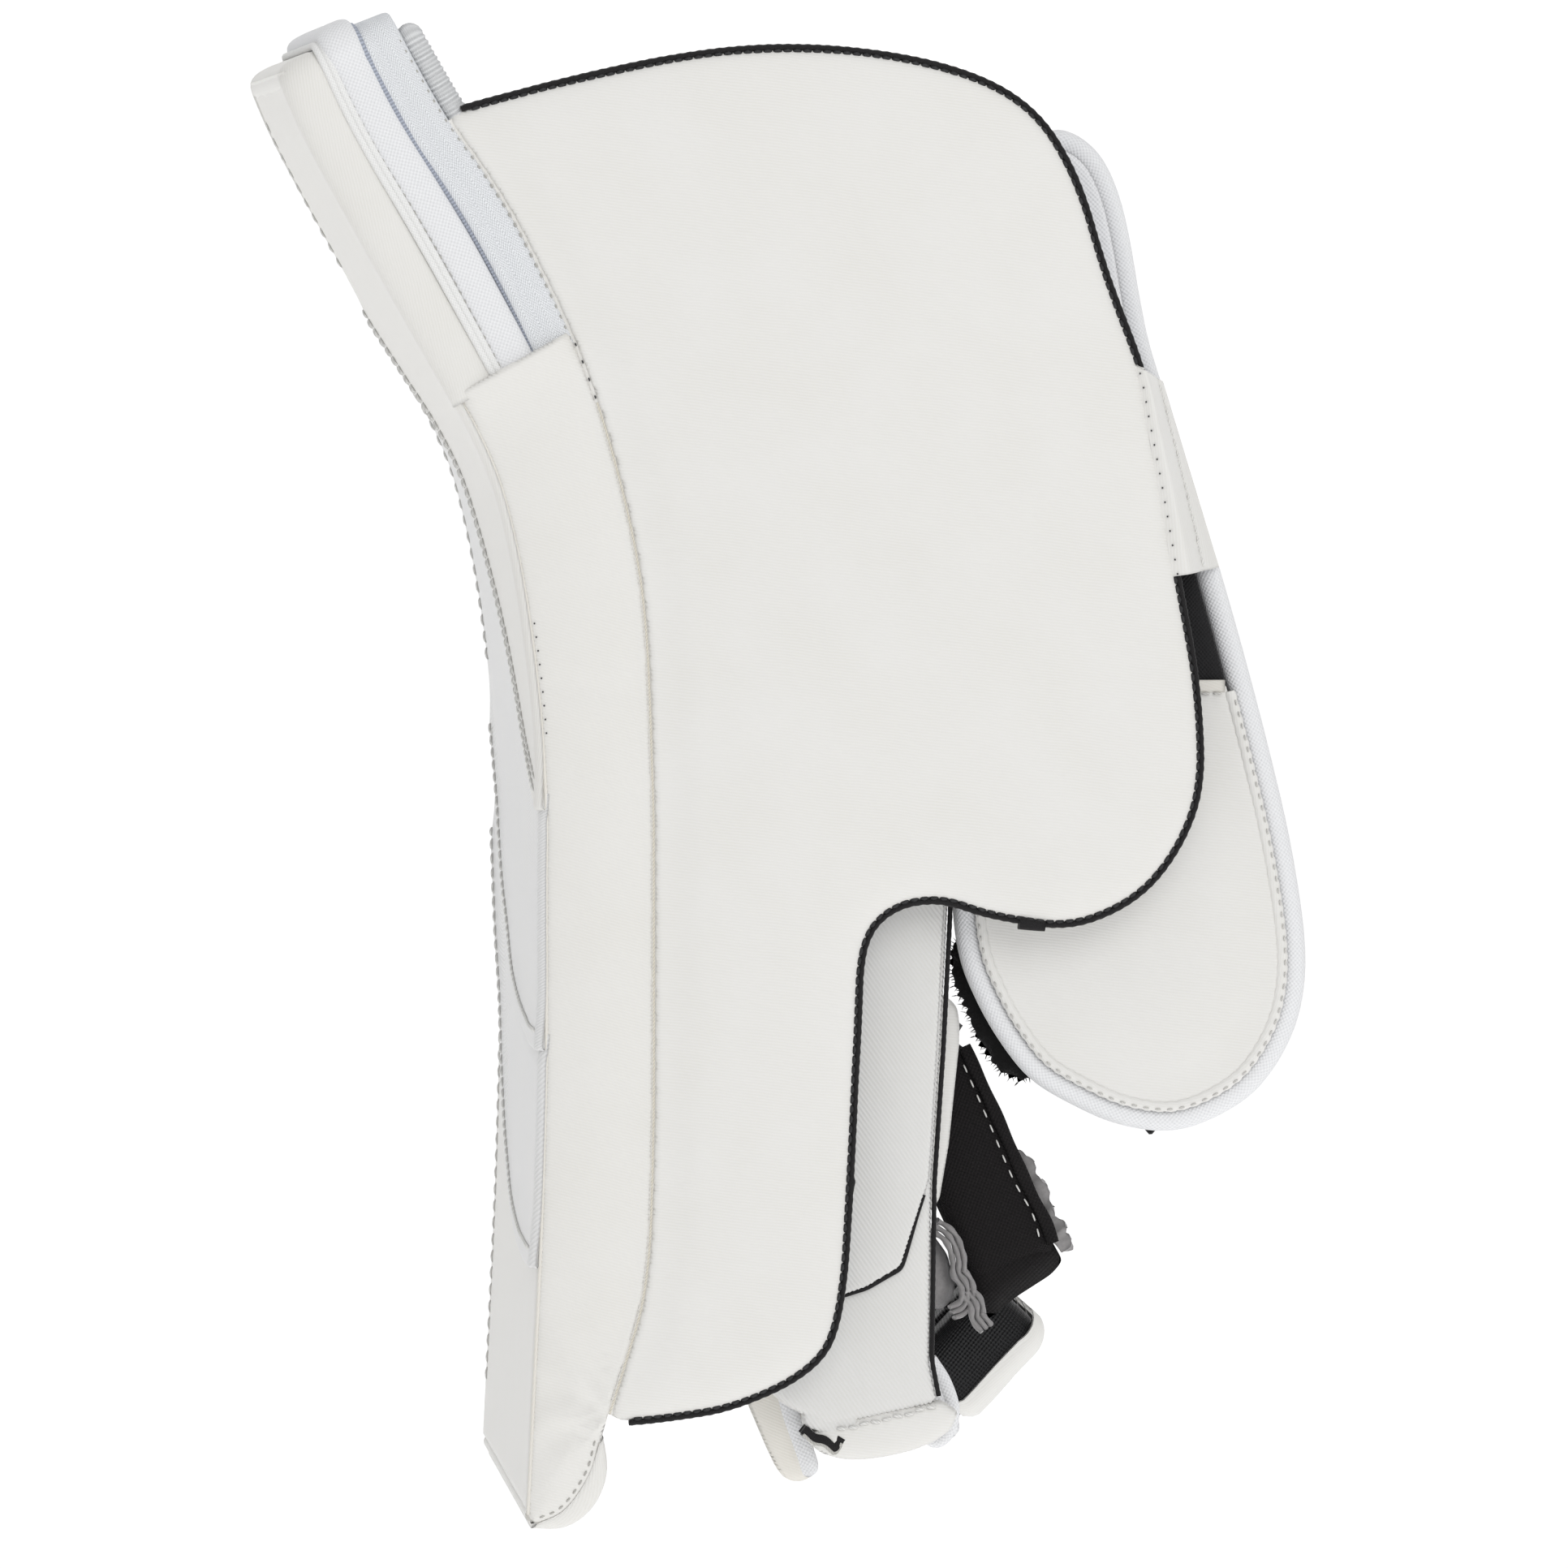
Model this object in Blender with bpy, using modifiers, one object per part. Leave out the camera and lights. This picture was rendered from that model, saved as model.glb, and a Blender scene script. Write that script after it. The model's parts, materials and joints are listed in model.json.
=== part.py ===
"""Goalie blocker: a stitched, foam-filled board with a side wing, a glove behind it, and a wrist cuff.

Frame: metres, +Z up along the board towards the elbow, +X from the board's face towards the palm,
+Y from the thumb side to the little-finger side. The origin is in the middle of the hand's space.
Outlines are written in millimetres as (x, z) pairs and turned into metres when a piece is made.
"""

import math

import bmesh
import bpy
from mathutils import Vector

MM = 0.001
GAP = 0.3                    # room left between pieces that touch, mm

# ---- board: side profile from the finger end up to the elbow end (x, z), mm
FRONT_POINTS = [
    (-70, -114), (-68.5, -84), (-66.5, -40), (-65.4, 0), (-65.4, 20), (-65.4, 40), (-65.4, 62),
    (-67.5, 92), (-72, 122), (-78.5, 146), (-88, 164), (-99, 183), (-108.5, 200), (-116, 214),
    (-123.5, 228.5), (-129.5, 243),
]
BACK_POINTS = [
    (-50, -89), (-46, -76), (-42, -62), (-40, -46), (-39.2, -20), (-39, 0), (-39, 40), (-39.4, 70),
    (-41.6, 112), (-48, 144), (-57, 172), (-68, 196), (-78, 214), (-90, 231), (-103, 254),
]
BOARD_WIDTH = 200
THUMB_SIDE = -83             # y of the board's thumb-side edge
LITTLE_SIDE = THUMB_SIDE + BOARD_WIDTH
BOARD_STEPS = 26             # facets along the board
SKIN = 2.0
PLATE = 2.5
LINING = 1.4
GUSSET = 1.5
OVERLAY = 1.5
OVERLAY_GAP = 0.6            # keeps the overlays' flat facets clear of the curved face
GUSSET_TOP = 0.757           # where the side gusset ends, as a share of the board's length
OVERLAY_SEAM = 0.002         # gap between neighbouring overlays, as a share of the length
# Edges between the overlays: share at the thumb side, share at the far side, and how late the
# edge turns up on its way across the face.
OVERLAY_EDGES = [(0.165, 0.42, 3.0), (0.31, 0.50, 2.8), (0.47, 0.80, 1.25), (0.987, 0.987, 1.0)]
TOP_GUSSET_BULGE = [(-125, 251), (-114, 257)]
END_GUSSET_POINTS = [(-52, -95), (-54.5, -104), (-61, -113), (-69, -116.5)]

# ---- layers of the board's side above the gusset: range of depth (0 face, 1 back), thickness
UPPER_SHARES = (GUSSET_TOP + 0.003, 1)
CUSHION_SIDE = ((0, 0.33), 1.8)
EDGE_BINDING = ((0.35, 0.62), 2.4)
HERRINGBONE_TAPE = ((0.65, 1), 1.4)
PIPING_DEPTH = 0.335
PIPING_R = 1.0
PIPING_LIFT = 3.2            # from the board's side to the piping's middle

# ---- wing: outline after the board's back edge, clockwise from its top corner (x, z), mm
WING_TOP = [
    (-86, 232.5), (-60, 239.5), (-24, 246.6), (8, 247.2), (36, 242), (54, 232.5), (65, 216),
    (73, 192), (81.4, 169),
]
WING_TAB = [(81.4, 169), (86.2, 144), (90.4, 119)]
WING_LOW = [
    (90.4, 119), (95.6, 88), (95.2, 62), (84, 42), (66, 32.5), (47, 34), (32, 38), (20, 35.5),
    (13, 26), (11.3, 4), (9.6, -30), (7, -62), (0, -77), (-20, -87), (-45, -90.6),
]
WING_ROOT_STEP = 24          # facet of the board's back where the wing's seam ends
WING_OUT = -88.0             # y of the wing's outer face
WING_COVER = 2.0
WING_FOAM = 7.2
WING_PLATE = 1.5
WING_LINING = 1.3
BINDING_R = 1.3
BINDING_REACH = BINDING_R + 0.45    # from the wing's outline to the binding's middle
BINDING_Y = WING_OUT + 4.0
CUFF_TAB_OUTLINE = [(82.4, 167), (91.2, 121), (102.6, 119), (88.5, 166)]
CUFF_TAB_Y = (WING_OUT + 5, -72.4)

# ---- wrist cuff: outer edge of its binding (x, z), mm
CUFF_OUTLINE = [
    (61, 228), (72, 223), (79, 208), (85, 177), (93, 152), (103, 119.5), (109.3, 97.7),
    (115.4, 74.6), (120.8, 51.4), (124.4, 28), (124, 12.6), (120, 0.3), (112.3, -10.6),
    (101.5, -17.6), (90.6, -20.5), (78.3, -18.8), (67.4, -14.2), (56.6, -7.6), (48.9, 1.7),
    (42.7, 12.6), (38.5, 24), (37, 40), (39, 62), (43, 110), (46.5, 160), (50, 200), (53, 219),
]
CUFF_BINDING_R = 3.0
CUFF_Y = -67.0               # middle of the cuff's thickness
CUFF_CORE = 5.0
CUFF_SKIN = 1.2
HOOK_OUTLINE = [
    (36.2, 24), (37.7, 15.5), (40.7, 9.1), (43.9, 0.8), (49, -6.1), (54.8, -8.9), (72, 6),
    (70, 34), (52, 44),
]
HOOK_Y = (-62.9, -61.3)
STRAP_OUTLINE = [(75, 62), (99, 62), (99, -9), (87, -22.6), (75, -9)]
STRAP_Y = (-61.0, -59.2)

# ---- glove: sleeve for the hand, four finger stalls and a thumb stall, mm
GLOVE_X = (-8.0, 34.0)
GLOVE_Y = (-33.5, 55.0)
GLOVE_Z = (-15.0, 75.0)
GLOVE_WALL = 1.5
WRIST_TOP = 108.0
WRIST_FLARE = 3.0            # how much wider the sleeve is than the glove, each side
PATCH = 1.5                  # thickness of the suede and loop patches
LOOP_PATCH = ((4, 28), (30, 68))
HAND_PAD = ((-38, -12), (-8.3, 70))
FINGER_PAD = ((-14, -81.5), (3.2, -16))
FINGERS = ("index", "middle", "ring", "little")
FINGER_X = (3.5, 25.5)
FINGER_Z = (-82.5, -15.5)
FINGER_PITCH = (GLOVE_Y[1] - GLOVE_Y[0]) / len(FINGERS)
FINGER_WIDTH = FINGER_PITCH - 0.6
STALL_WALL = 1.3
TIP_HINGE = (27.5, -83.0)    # crease where the fingertips curl
TIP_CURL = 137.0             # how far the fingertips are curled at rest, degrees
TIP_LENGTH = 32.0
TIP_THICK = 20.0
TIP_GUARD = 1.8
THUMB_ROOT = (30.7, -3.6)    # middle of the thumb stall's mouth
THUMB_SIZE = (24.0, 22.0, 58.0)
THUMB_TILT = 24.5
THUMB_Y = -46.5

# ---- finger shield beside the index finger, mm
SHIELD_Y = (-72.0, -64.0)
SHIELD_OVERLAY_Y = (-73.7, -72.3)
SHIELD_PIPING_Y = -71.0
SHIELD_PIPING_R = 0.9
END_CAP_Y = (-72.0, -64.4)
FLAP_Y = (-63.6, -58.8)
WEB_GUARD_Y = (-63.6, -60.0)
SHIELD_OUTLINE = [
    (-38.3, 60), (35.6, 60), (35.4, 36), (33.6, 0), (31.4, -33), (30.8, -78), (33, -88),
    (5, -94), (-6, -88), (-24, -70), (-38.3, -40),
]
SHIELD_OVERLAY_OUTLINE = [
    (-28, 58), (34.4, 58), (34.2, 36), (32.4, 0), (30.4, -32.4), (26, -46), (23.5, -54),
    (15, -59), (5, -62.4), (-28, -64),
]
SHIELD_EDGE = [(37.0, 58), (36.9, 36), (35.1, 0), (32.9, -33), (32.3, -78), (34.4, -87)]
END_CAP_OUTLINE = [
    (4, -95), (33.6, -88.8), (35, -94), (26, -98.6), (14, -100.7), (7, -100), (2.5, -97.6),
]
BOARD_FLAP_OUTLINE = [
    (-16, -80), (-7, -79), (0, -92), (1.2, -102), (-2, -105.4), (-7, -104.4), (-11, -97),
]
PALM_FLAP_OUTLINE = [
    (28, -76), (32, -78), (38.4, -92), (39, -96), (35.6, -98.6), (31, -98), (28.4, -92),
]
WEB_GUARD_OUTLINE = [(28, 10), (36.6, 12), (39, 6), (38, -8), (34, -38), (27, -38)]


# ---------------------------------------------------------------- lines and outlines

def smooth_line(points, per_span, closed=False):
    """Points on a Catmull-Rom curve that passes through all the given points."""
    count = len(points)
    spans = count if closed else count - 1
    line = []
    for i in range(spans):
        if closed:
            a, b, c, d = (Vector(points[(i + k) % count]) for k in (-1, 0, 1, 2))
        else:
            b, c = Vector(points[i]), Vector(points[i + 1])
            a = Vector(points[i - 1]) if i > 0 else b * 2 - c
            d = Vector(points[i + 2]) if i + 2 < count else c * 2 - b
        for step in range(per_span):
            t = step / per_span
            line.append(0.5 * (2 * b + (c - a) * t + (2 * a - 5 * b + 4 * c - d) * t ** 2
                               + (3 * b - a - 3 * c + d) * t ** 3))
    if not closed:
        line.append(Vector(points[-1]))
    return line


def evenly(line, steps):
    """The same line with steps equal stretches."""
    lengths = [0.0]
    for a, b in zip(line, line[1:]):
        lengths.append(lengths[-1] + (b - a).length)
    result = []
    for step in range(steps + 1):
        target = lengths[-1] * step / steps
        i = next((k for k in range(1, len(lengths)) if lengths[k] >= target - 1e-9), len(line) - 1)
        share = (target - lengths[i - 1]) / (lengths[i] - lengths[i - 1])
        result.append(line[i - 1].lerp(line[i], share))
    return result


def shifted(line, distance, closed=False):
    """The line moved sideways: a positive distance moves it to the left of its direction."""
    count = len(line)
    result = []
    for i, point in enumerate(line):
        before = line[i - 1] if closed or i > 0 else point
        after = line[(i + 1) % count] if closed or i + 1 < count else point
        along = (after - before).normalized()
        result.append(point + Vector((-along.y, along.x)) * distance)
    return result


def inset(outline, distance):
    """A closed clockwise outline made smaller all round; points that crowd a tight bend go."""
    moved = shifted(outline, -distance, closed=True)
    return [point for point in moved
            if min((point - other).length for other in outline) > distance * 0.97]


FRONT = evenly(smooth_line(FRONT_POINTS, 8), BOARD_STEPS)
BACK = evenly(smooth_line(BACK_POINTS, 8), BOARD_STEPS)


def at_share(line, share):
    """The point a given share of the way along an evenly stepped line."""
    place = min(max(share, 0.0), 1.0) * (len(line) - 1)
    i = min(int(place), len(line) - 2)
    return line[i].lerp(line[i + 1], place - i)


def across(depth, share):
    """A point of the board's side: depth 0 is the face and 1 is the back."""
    return at_share(FRONT, share).lerp(at_share(BACK, share), depth)


def side_patch(depths, shares, steps):
    """Outline of a patch of the board's side between two depths and two shares of its length."""
    rising = [across(depths[0], shares[0] + (shares[1] - shares[0]) * i / steps)
              for i in range(steps + 1)]
    falling = [across(depths[1], shares[1] + (shares[0] - shares[1]) * i / steps)
               for i in range(steps + 1)]
    return rising + falling


def band(line, near, far):
    """Closed outline of a strip between two sideways shifts of a line."""
    return shifted(line, near) + shifted(line, far)[::-1]


# ---------------------------------------------------------------- piece makers

def clear_scene():
    for obj in list(bpy.data.objects):
        bpy.data.objects.remove(obj)


def make_material(name, colour, roughness):
    material = bpy.data.materials.new(name)
    material.use_nodes = True
    shader = material.node_tree.nodes["Principled BSDF"]
    shader.inputs["Base Color"].default_value = (*colour, 1)
    shader.inputs["Roughness"].default_value = roughness
    shader.inputs["Metallic"].default_value = 0
    return material


def add_object(name, data, material, location=(0, 0, 0), rotation=(0, 0, 0)):
    """Link an object with its place in millimetres and its rotation in degrees."""
    obj = bpy.data.objects.new(name, data)
    obj.location = Vector(location) * MM
    obj.rotation_euler = [math.radians(angle) for angle in rotation]
    data.materials.append(material)
    PARTS.objects.link(obj)
    return obj


def round_edges(obj, width, segments=2, angle=40):
    bevel = obj.modifiers.new("Rounded edges", "BEVEL")
    bevel.width = width * MM
    bevel.segments = segments
    bevel.limit_method = "ANGLE"
    bevel.angle_limit = math.radians(angle)


def prism(name, outline, y_low, y_high, material, bevel=0.0, segments=2):
    """A flat outline in the XZ plane with its thickness along Y."""
    curve = bpy.data.curves.new(name, "CURVE")
    curve.dimensions = "2D"
    curve.fill_mode = "BOTH"
    curve.extrude = (y_high - y_low) / 2 * MM
    curve.render_resolution_u = 0
    spline = curve.splines.new("POLY")
    spline.points.add(len(outline) - 1)
    for point, (x, z) in zip(spline.points, outline):
        point.co = (x * MM, z * MM, 0, 1)
    spline.use_cyclic_u = True
    obj = add_object(name, curve, material, (0, (y_low + y_high) / 2, 0), (90, 0, 0))
    if bevel:
        weld = obj.modifiers.new("Welded caps", "WELD")
        weld.merge_threshold = 0.00001
        round_edges(obj, bevel, segments)
    return obj


def tube(name, points, radius, material, cyclic=False, sides=2):
    """A round cord through 3-D points in millimetres."""
    curve = bpy.data.curves.new(name, "CURVE")
    curve.dimensions = "3D"
    curve.bevel_depth = radius * MM
    curve.bevel_resolution = sides
    curve.use_fill_caps = not cyclic
    curve.render_resolution_u = 0
    spline = curve.splines.new("POLY")
    spline.points.add(len(points) - 1)
    for point, place in zip(spline.points, points):
        point.co = (*(Vector(place) * MM), 1)
    spline.use_cyclic_u = cyclic
    return add_object(name, curve, material)


def in_plane(line, y):
    """Lift (x, z) points to 3-D at one depth."""
    return [(point[0], y, point[1]) for point in line]


def box_mesh(name, low, high, open_sides=()):
    """A box between two corners, in millimetres; open_sides lists outward directions left open."""
    mesh = bpy.data.meshes.new(name)
    bm = bmesh.new()
    bmesh.ops.create_cube(bm, size=1)
    size = Vector(high) - Vector(low)
    centre = (Vector(high) + Vector(low)) / 2
    bmesh.ops.scale(bm, vec=size * MM, verts=bm.verts)
    bmesh.ops.translate(bm, vec=centre * MM, verts=bm.verts)
    bm.normal_update()
    opened = [face for face in bm.faces
              if any(face.normal.dot(Vector(side)) > 0.9 for side in open_sides)]
    bmesh.ops.delete(bm, geom=opened, context="FACES_ONLY")
    bm.to_mesh(mesh)
    bm.free()
    return mesh


def block(name, low, high, material, bevel=1.5, location=(0, 0, 0), rotation=(0, 0, 0)):
    """A solid box with rounded edges; its corners are measured from its location."""
    obj = add_object(name, box_mesh(name, low, high), material, location, rotation)
    round_edges(obj, bevel)
    return obj


def stall(name, low, high, open_sides, wall, material, location=(0, 0, 0), rotation=(0, 0, 0)):
    """A thin-walled sleeve or cup with rounded long edges."""
    obj = add_object(name, box_mesh(name, low, high, open_sides), material, location, rotation)
    round_edges(obj, 4.0)
    shell = obj.modifiers.new("Cloth thickness", "SOLIDIFY")
    shell.thickness = wall * MM
    shell.offset = -1
    shell.use_even_offset = True
    return obj


def face_overlay(name, low_share, high_share, material, steps=16, columns=8):
    """A sheet on the board's face; low_share and high_share give its ends for a place across it."""
    outer = shifted(FRONT, OVERLAY_GAP + OVERLAY)
    mesh = bpy.data.meshes.new(name)
    bm = bmesh.new()
    bmesh.ops.create_grid(bm, x_segments=columns, y_segments=steps, size=0.5)
    for vertex in bm.verts:
        place = vertex.co.x + 0.5
        low, high = low_share(place), high_share(place)
        point = at_share(outer, low + (high - low) * (vertex.co.y + 0.5))
        y = THUMB_SIDE + 0.5 + (BOARD_WIDTH - 1) * place
        vertex.co = Vector((point.x, y, point.y)) * MM
    bm.normal_update()
    if sum(face.normal.x for face in bm.faces) > 0:
        bmesh.ops.reverse_faces(bm, faces=bm.faces)
    bm.to_mesh(mesh)
    bm.free()
    obj = add_object(name, mesh, material)
    shell = obj.modifiers.new("Leather thickness", "SOLIDIFY")
    shell.thickness = OVERLAY * MM
    shell.offset = -1
    return obj


# ---------------------------------------------------------------- the board

def make_board():
    side = (THUMB_SIDE, LITTLE_SIDE)
    back_inward = LINING + GAP
    plate_top = back_inward + PLATE
    foam_front = shifted(FRONT, -(SKIN + GAP))
    foam_back = shifted(BACK, plate_top + GAP)
    prism("front_skin", band(FRONT, 0, -SKIN), *side, LEATHER)
    prism("board_foam", foam_front + foam_back[::-1], *side, FOAM)
    prism("board_plate", band(BACK, back_inward, plate_top), *side, PLASTIC)
    prism("back_lining", band(BACK, 0, LINING), *side, LINING_CLOTH)

    thumb_face = THUMB_SIDE - GAP
    prism("thumb_gusset", side_patch((0, 1), (0, GUSSET_TOP), 20),
          thumb_face - GUSSET, thumb_face, LEATHER)
    for name, (depths, thickness), material in (("cushion_side", CUSHION_SIDE, LEATHER),
                                                ("edge_binding", EDGE_BINDING, NYLON),
                                                ("herringbone_tape", HERRINGBONE_TAPE, TAPE)):
        prism(name, side_patch(depths, UPPER_SHARES, 8), thumb_face - thickness, thumb_face,
              material)
    low, high = UPPER_SHARES
    piping = [across(PIPING_DEPTH, low + (high - low) * i / 9) for i in range(10)]
    tube("face_piping", in_plane(piping, thumb_face - PIPING_LIFT), PIPING_R, NYLON, sides=1)
    little_face = LITTLE_SIDE + GAP
    prism("little_gusset", side_patch((0, 1), (0, 1), BOARD_STEPS),
          little_face, little_face + GUSSET, LEATHER)

    top_line = smooth_line([FRONT[-1], *TOP_GUSSET_BULGE, BACK[-1]], 3)
    prism("top_gusset", band(top_line, GAP, GAP + GUSSET), *side, NYLON)
    end_line = smooth_line(END_GUSSET_POINTS, 3)
    prism("end_gusset", band(end_line, GAP + GUSSET, GAP)[::-1], *side, LEATHER)


def make_overlays():
    """Three leather panels sweep down the face from the little-finger side to the thumb side."""
    def sweep(thumb_share, little_share, power, drop=0.0):
        return lambda place: (thumb_share + (little_share - thumb_share) * place ** power) - drop

    names = ("face_overlay_low", "face_overlay_middle", "face_overlay_high")
    for name, low, high in zip(names, OVERLAY_EDGES, OVERLAY_EDGES[1:]):
        face_overlay(name, sweep(*low), sweep(*high, drop=OVERLAY_SEAM), OVERLAY_LEATHER)


# ---------------------------------------------------------------- the wing

def wing_outline():
    root = shifted(BACK[WING_ROOT_STEP::-1], 0.5)
    edge = smooth_line(WING_TOP, 3)[:-1] + smooth_line(WING_TAB, 2)[:-1] + smooth_line(WING_LOW, 3)
    return edge + root[::-1]


def make_wing():
    outline = wing_outline()
    foam_y = WING_OUT + WING_COVER + GAP
    plate_y = foam_y + WING_FOAM + GAP
    lining_y = plate_y + WING_PLATE + GAP
    prism("wing_cover", outline, WING_OUT, WING_OUT + WING_COVER, LEATHER)
    prism("wing_foam", outline, foam_y, foam_y + WING_FOAM, FOAM)
    prism("wing_plate", outline, plate_y, plate_y + WING_PLATE, PLASTIC)
    prism("wing_lining", outline, lining_y, lining_y + WING_LINING, LINING_CLOTH)
    for name, points in (("wing_binding_top", WING_TOP), ("wing_binding_low", WING_LOW)):
        edge = shifted(smooth_line(points, 3), BINDING_REACH)
        tube(name, in_plane(edge, BINDING_Y), BINDING_R, BLACK_BINDING, sides=1)
    prism("cuff_tab", CUFF_TAB_OUTLINE, *CUFF_TAB_Y, LEATHER, bevel=0.8)


# ---------------------------------------------------------------- the wrist cuff and its strap

def make_cuff():
    outer = smooth_line(CUFF_OUTLINE, 3, closed=True)
    core = inset(outer, 2 * CUFF_BINDING_R + GAP)
    half = CUFF_CORE / 2
    skin = half + GAP
    prism("cuff_core", core, CUFF_Y - half, CUFF_Y + half, FOAM)
    prism("cuff_face", core, CUFF_Y - skin - CUFF_SKIN, CUFF_Y - skin, LEATHER)
    prism("cuff_lining", core, CUFF_Y + skin, CUFF_Y + skin + CUFF_SKIN, CORDURA)
    edge = inset(outer, CUFF_BINDING_R)
    tube("cuff_binding", in_plane(edge, CUFF_Y), CUFF_BINDING_R, NYLON, cyclic=True, sides=1)
    prism("cuff_hook", HOOK_OUTLINE, *HOOK_Y, HOOK)
    prism("closure_strap", STRAP_OUTLINE, *STRAP_Y, WEBBING)


# ---------------------------------------------------------------- the glove

def make_glove():
    (x0, x1), (y0, y1), (z0, z1) = GLOVE_X, GLOVE_Y, GLOVE_Z
    up, down = (0, 0, 1), (0, 0, -1)
    stall("glove_body", (x0, y0, z0), (x1, y1, z1), (up, down), GLOVE_WALL, CORDURA)
    stall("wrist_sleeve", (x0 - WRIST_FLARE, y0 - WRIST_FLARE, z1 + 0.4),
          (x1 + WRIST_FLARE, y1 + WRIST_FLARE, WRIST_TOP), (up, down), GLOVE_WALL, CORDURA)
    (left, bottom), (right, top) = HAND_PAD
    block("hand_pad", (left, y0 + 1, bottom), (right, y1 - 1, top), FOAM, bevel=4)
    block("palm_patch", (x1 + GAP, y0 + 4, z0 + 3), (x1 + GAP + PATCH, y1 - 4, 58), SUEDE,
          bevel=0.5)
    (left, bottom), (right, top) = LOOP_PATCH
    block("wrist_loop_patch", (left, y1 + GAP, bottom), (right, y1 + GAP + PATCH, top), HOOK,
          bevel=0.5)


def make_fingers():
    """Four stalls side by side, each with a curled fingertip and its leather guard."""
    hinge = (TIP_HINGE[0], 0, TIP_HINGE[1])
    curl = (0, -TIP_CURL, 0)
    for i, finger in enumerate(FINGERS):
        y0 = GLOVE_Y[0] + FINGER_PITCH * i
        y1 = y0 + FINGER_WIDTH
        stall(f"{finger}_stall", (FINGER_X[0], y0, FINGER_Z[0]), (FINGER_X[1], y1, FINGER_Z[1]),
              ((0, 0, 1), (0, 0, -1)), STALL_WALL, CORDURA)
        stall(f"{finger}_tip", (-TIP_THICK, y0, -TIP_LENGTH), (0, y1, -0.4), ((0, 0, 1),),
              STALL_WALL, MESH, hinge, curl)
        block(f"{finger}_tip_guard", (-TIP_THICK - GAP - TIP_GUARD, y0 + 1, -TIP_LENGTH),
              (-TIP_THICK - GAP, y1 - 1, -3), LEATHER, 0.6, hinge, curl)
    (left, bottom), (right, top) = FINGER_PAD
    block("finger_back_pad", (left, GLOVE_Y[0] + 1, bottom), (right, GLOVE_Y[1] - 1, top), FOAM,
          bevel=3)


def make_thumb():
    width, depth, length = THUMB_SIZE
    place = (THUMB_ROOT[0], THUMB_Y, THUMB_ROOT[1])
    tilt = (0, -THUMB_TILT, 0)
    stall("thumb_stall", (-width / 2, -depth / 2, -length), (width / 2, depth / 2, 0),
          ((0, 0, 1),), STALL_WALL, CORDURA, place, tilt)
    block("thumb_suede", (width / 2 + GAP, -depth / 2 + 2, -length + 2),
          (width / 2 + GAP + PATCH, depth / 2 - 2, -14), SUEDE, 0.5, place, tilt)


# ---------------------------------------------------------------- finger protection

def make_shield():
    prism("shield_panel", SHIELD_OUTLINE, *SHIELD_Y, LEATHER, bevel=1.2)
    prism("shield_overlay", SHIELD_OVERLAY_OUTLINE, *SHIELD_OVERLAY_Y, OVERLAY_LEATHER)
    tube("shield_piping", in_plane(smooth_line(SHIELD_EDGE, 2), SHIELD_PIPING_Y), SHIELD_PIPING_R,
         BLACK_BINDING, sides=1)
    for name, outline, depths, material, bevel in (
            ("shield_end_cap", END_CAP_OUTLINE, END_CAP_Y, LEATHER, 0),
            ("board_side_flap", BOARD_FLAP_OUTLINE, FLAP_Y, NYLON, 1.2),
            ("palm_side_flap", PALM_FLAP_OUTLINE, FLAP_Y, NYLON, 1.2),
            ("web_guard", WEB_GUARD_OUTLINE, WEB_GUARD_Y, LEATHER, 0)):
        prism(name, smooth_line(outline, 2, closed=True), *depths, material, bevel)


clear_scene()
PARTS = bpy.data.collections.new("goalie_blocker")
bpy.context.scene.collection.children.link(PARTS)
LEATHER = make_material("leather_white", (0.80, 0.79, 0.77), 0.45)
OVERLAY_LEATHER = make_material("leather_overlay", (0.78, 0.78, 0.77), 0.42)
NYLON = make_material("nylon_white", (0.80, 0.81, 0.84), 0.75)
TAPE = make_material("herringbone", (0.74, 0.79, 0.86), 0.8)
BLACK_BINDING = make_material("binding_black", (0.015, 0.015, 0.017), 0.6)
FOAM = make_material("foam", (0.10, 0.10, 0.11), 0.95)
PLASTIC = make_material("stiffener", (0.75, 0.75, 0.75), 0.5)
LINING_CLOTH = make_material("lining", (0.60, 0.61, 0.64), 0.8)
CORDURA = make_material("cordura_black", (0.02, 0.02, 0.022), 0.85)
MESH = make_material("mesh_black", (0.015, 0.015, 0.016), 0.8)
SUEDE = make_material("suede_grey", (0.30, 0.29, 0.29), 0.95)
HOOK = make_material("hook_black", (0.01, 0.01, 0.01), 0.9)
WEBBING = make_material("webbing_black", (0.02, 0.02, 0.02), 0.8)

make_board()
make_overlays()
make_wing()
make_cuff()
make_glove()
make_fingers()
make_thumb()
make_shield()
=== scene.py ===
"""Looks of the goalie blocker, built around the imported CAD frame.

Metres, in the frame's own axes: +X from the board's face to the palm, +Y from the thumb side to the
little-finger side, +Z up to the elbow end. Outlines are read off the frame's nodes, and every piece
carries a UV map in real metres, which the weaves and embossed grains follow.
"""
import json
import math

import bpy
import numpy as np
from mathutils import Matrix, Vector, geometry


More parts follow.
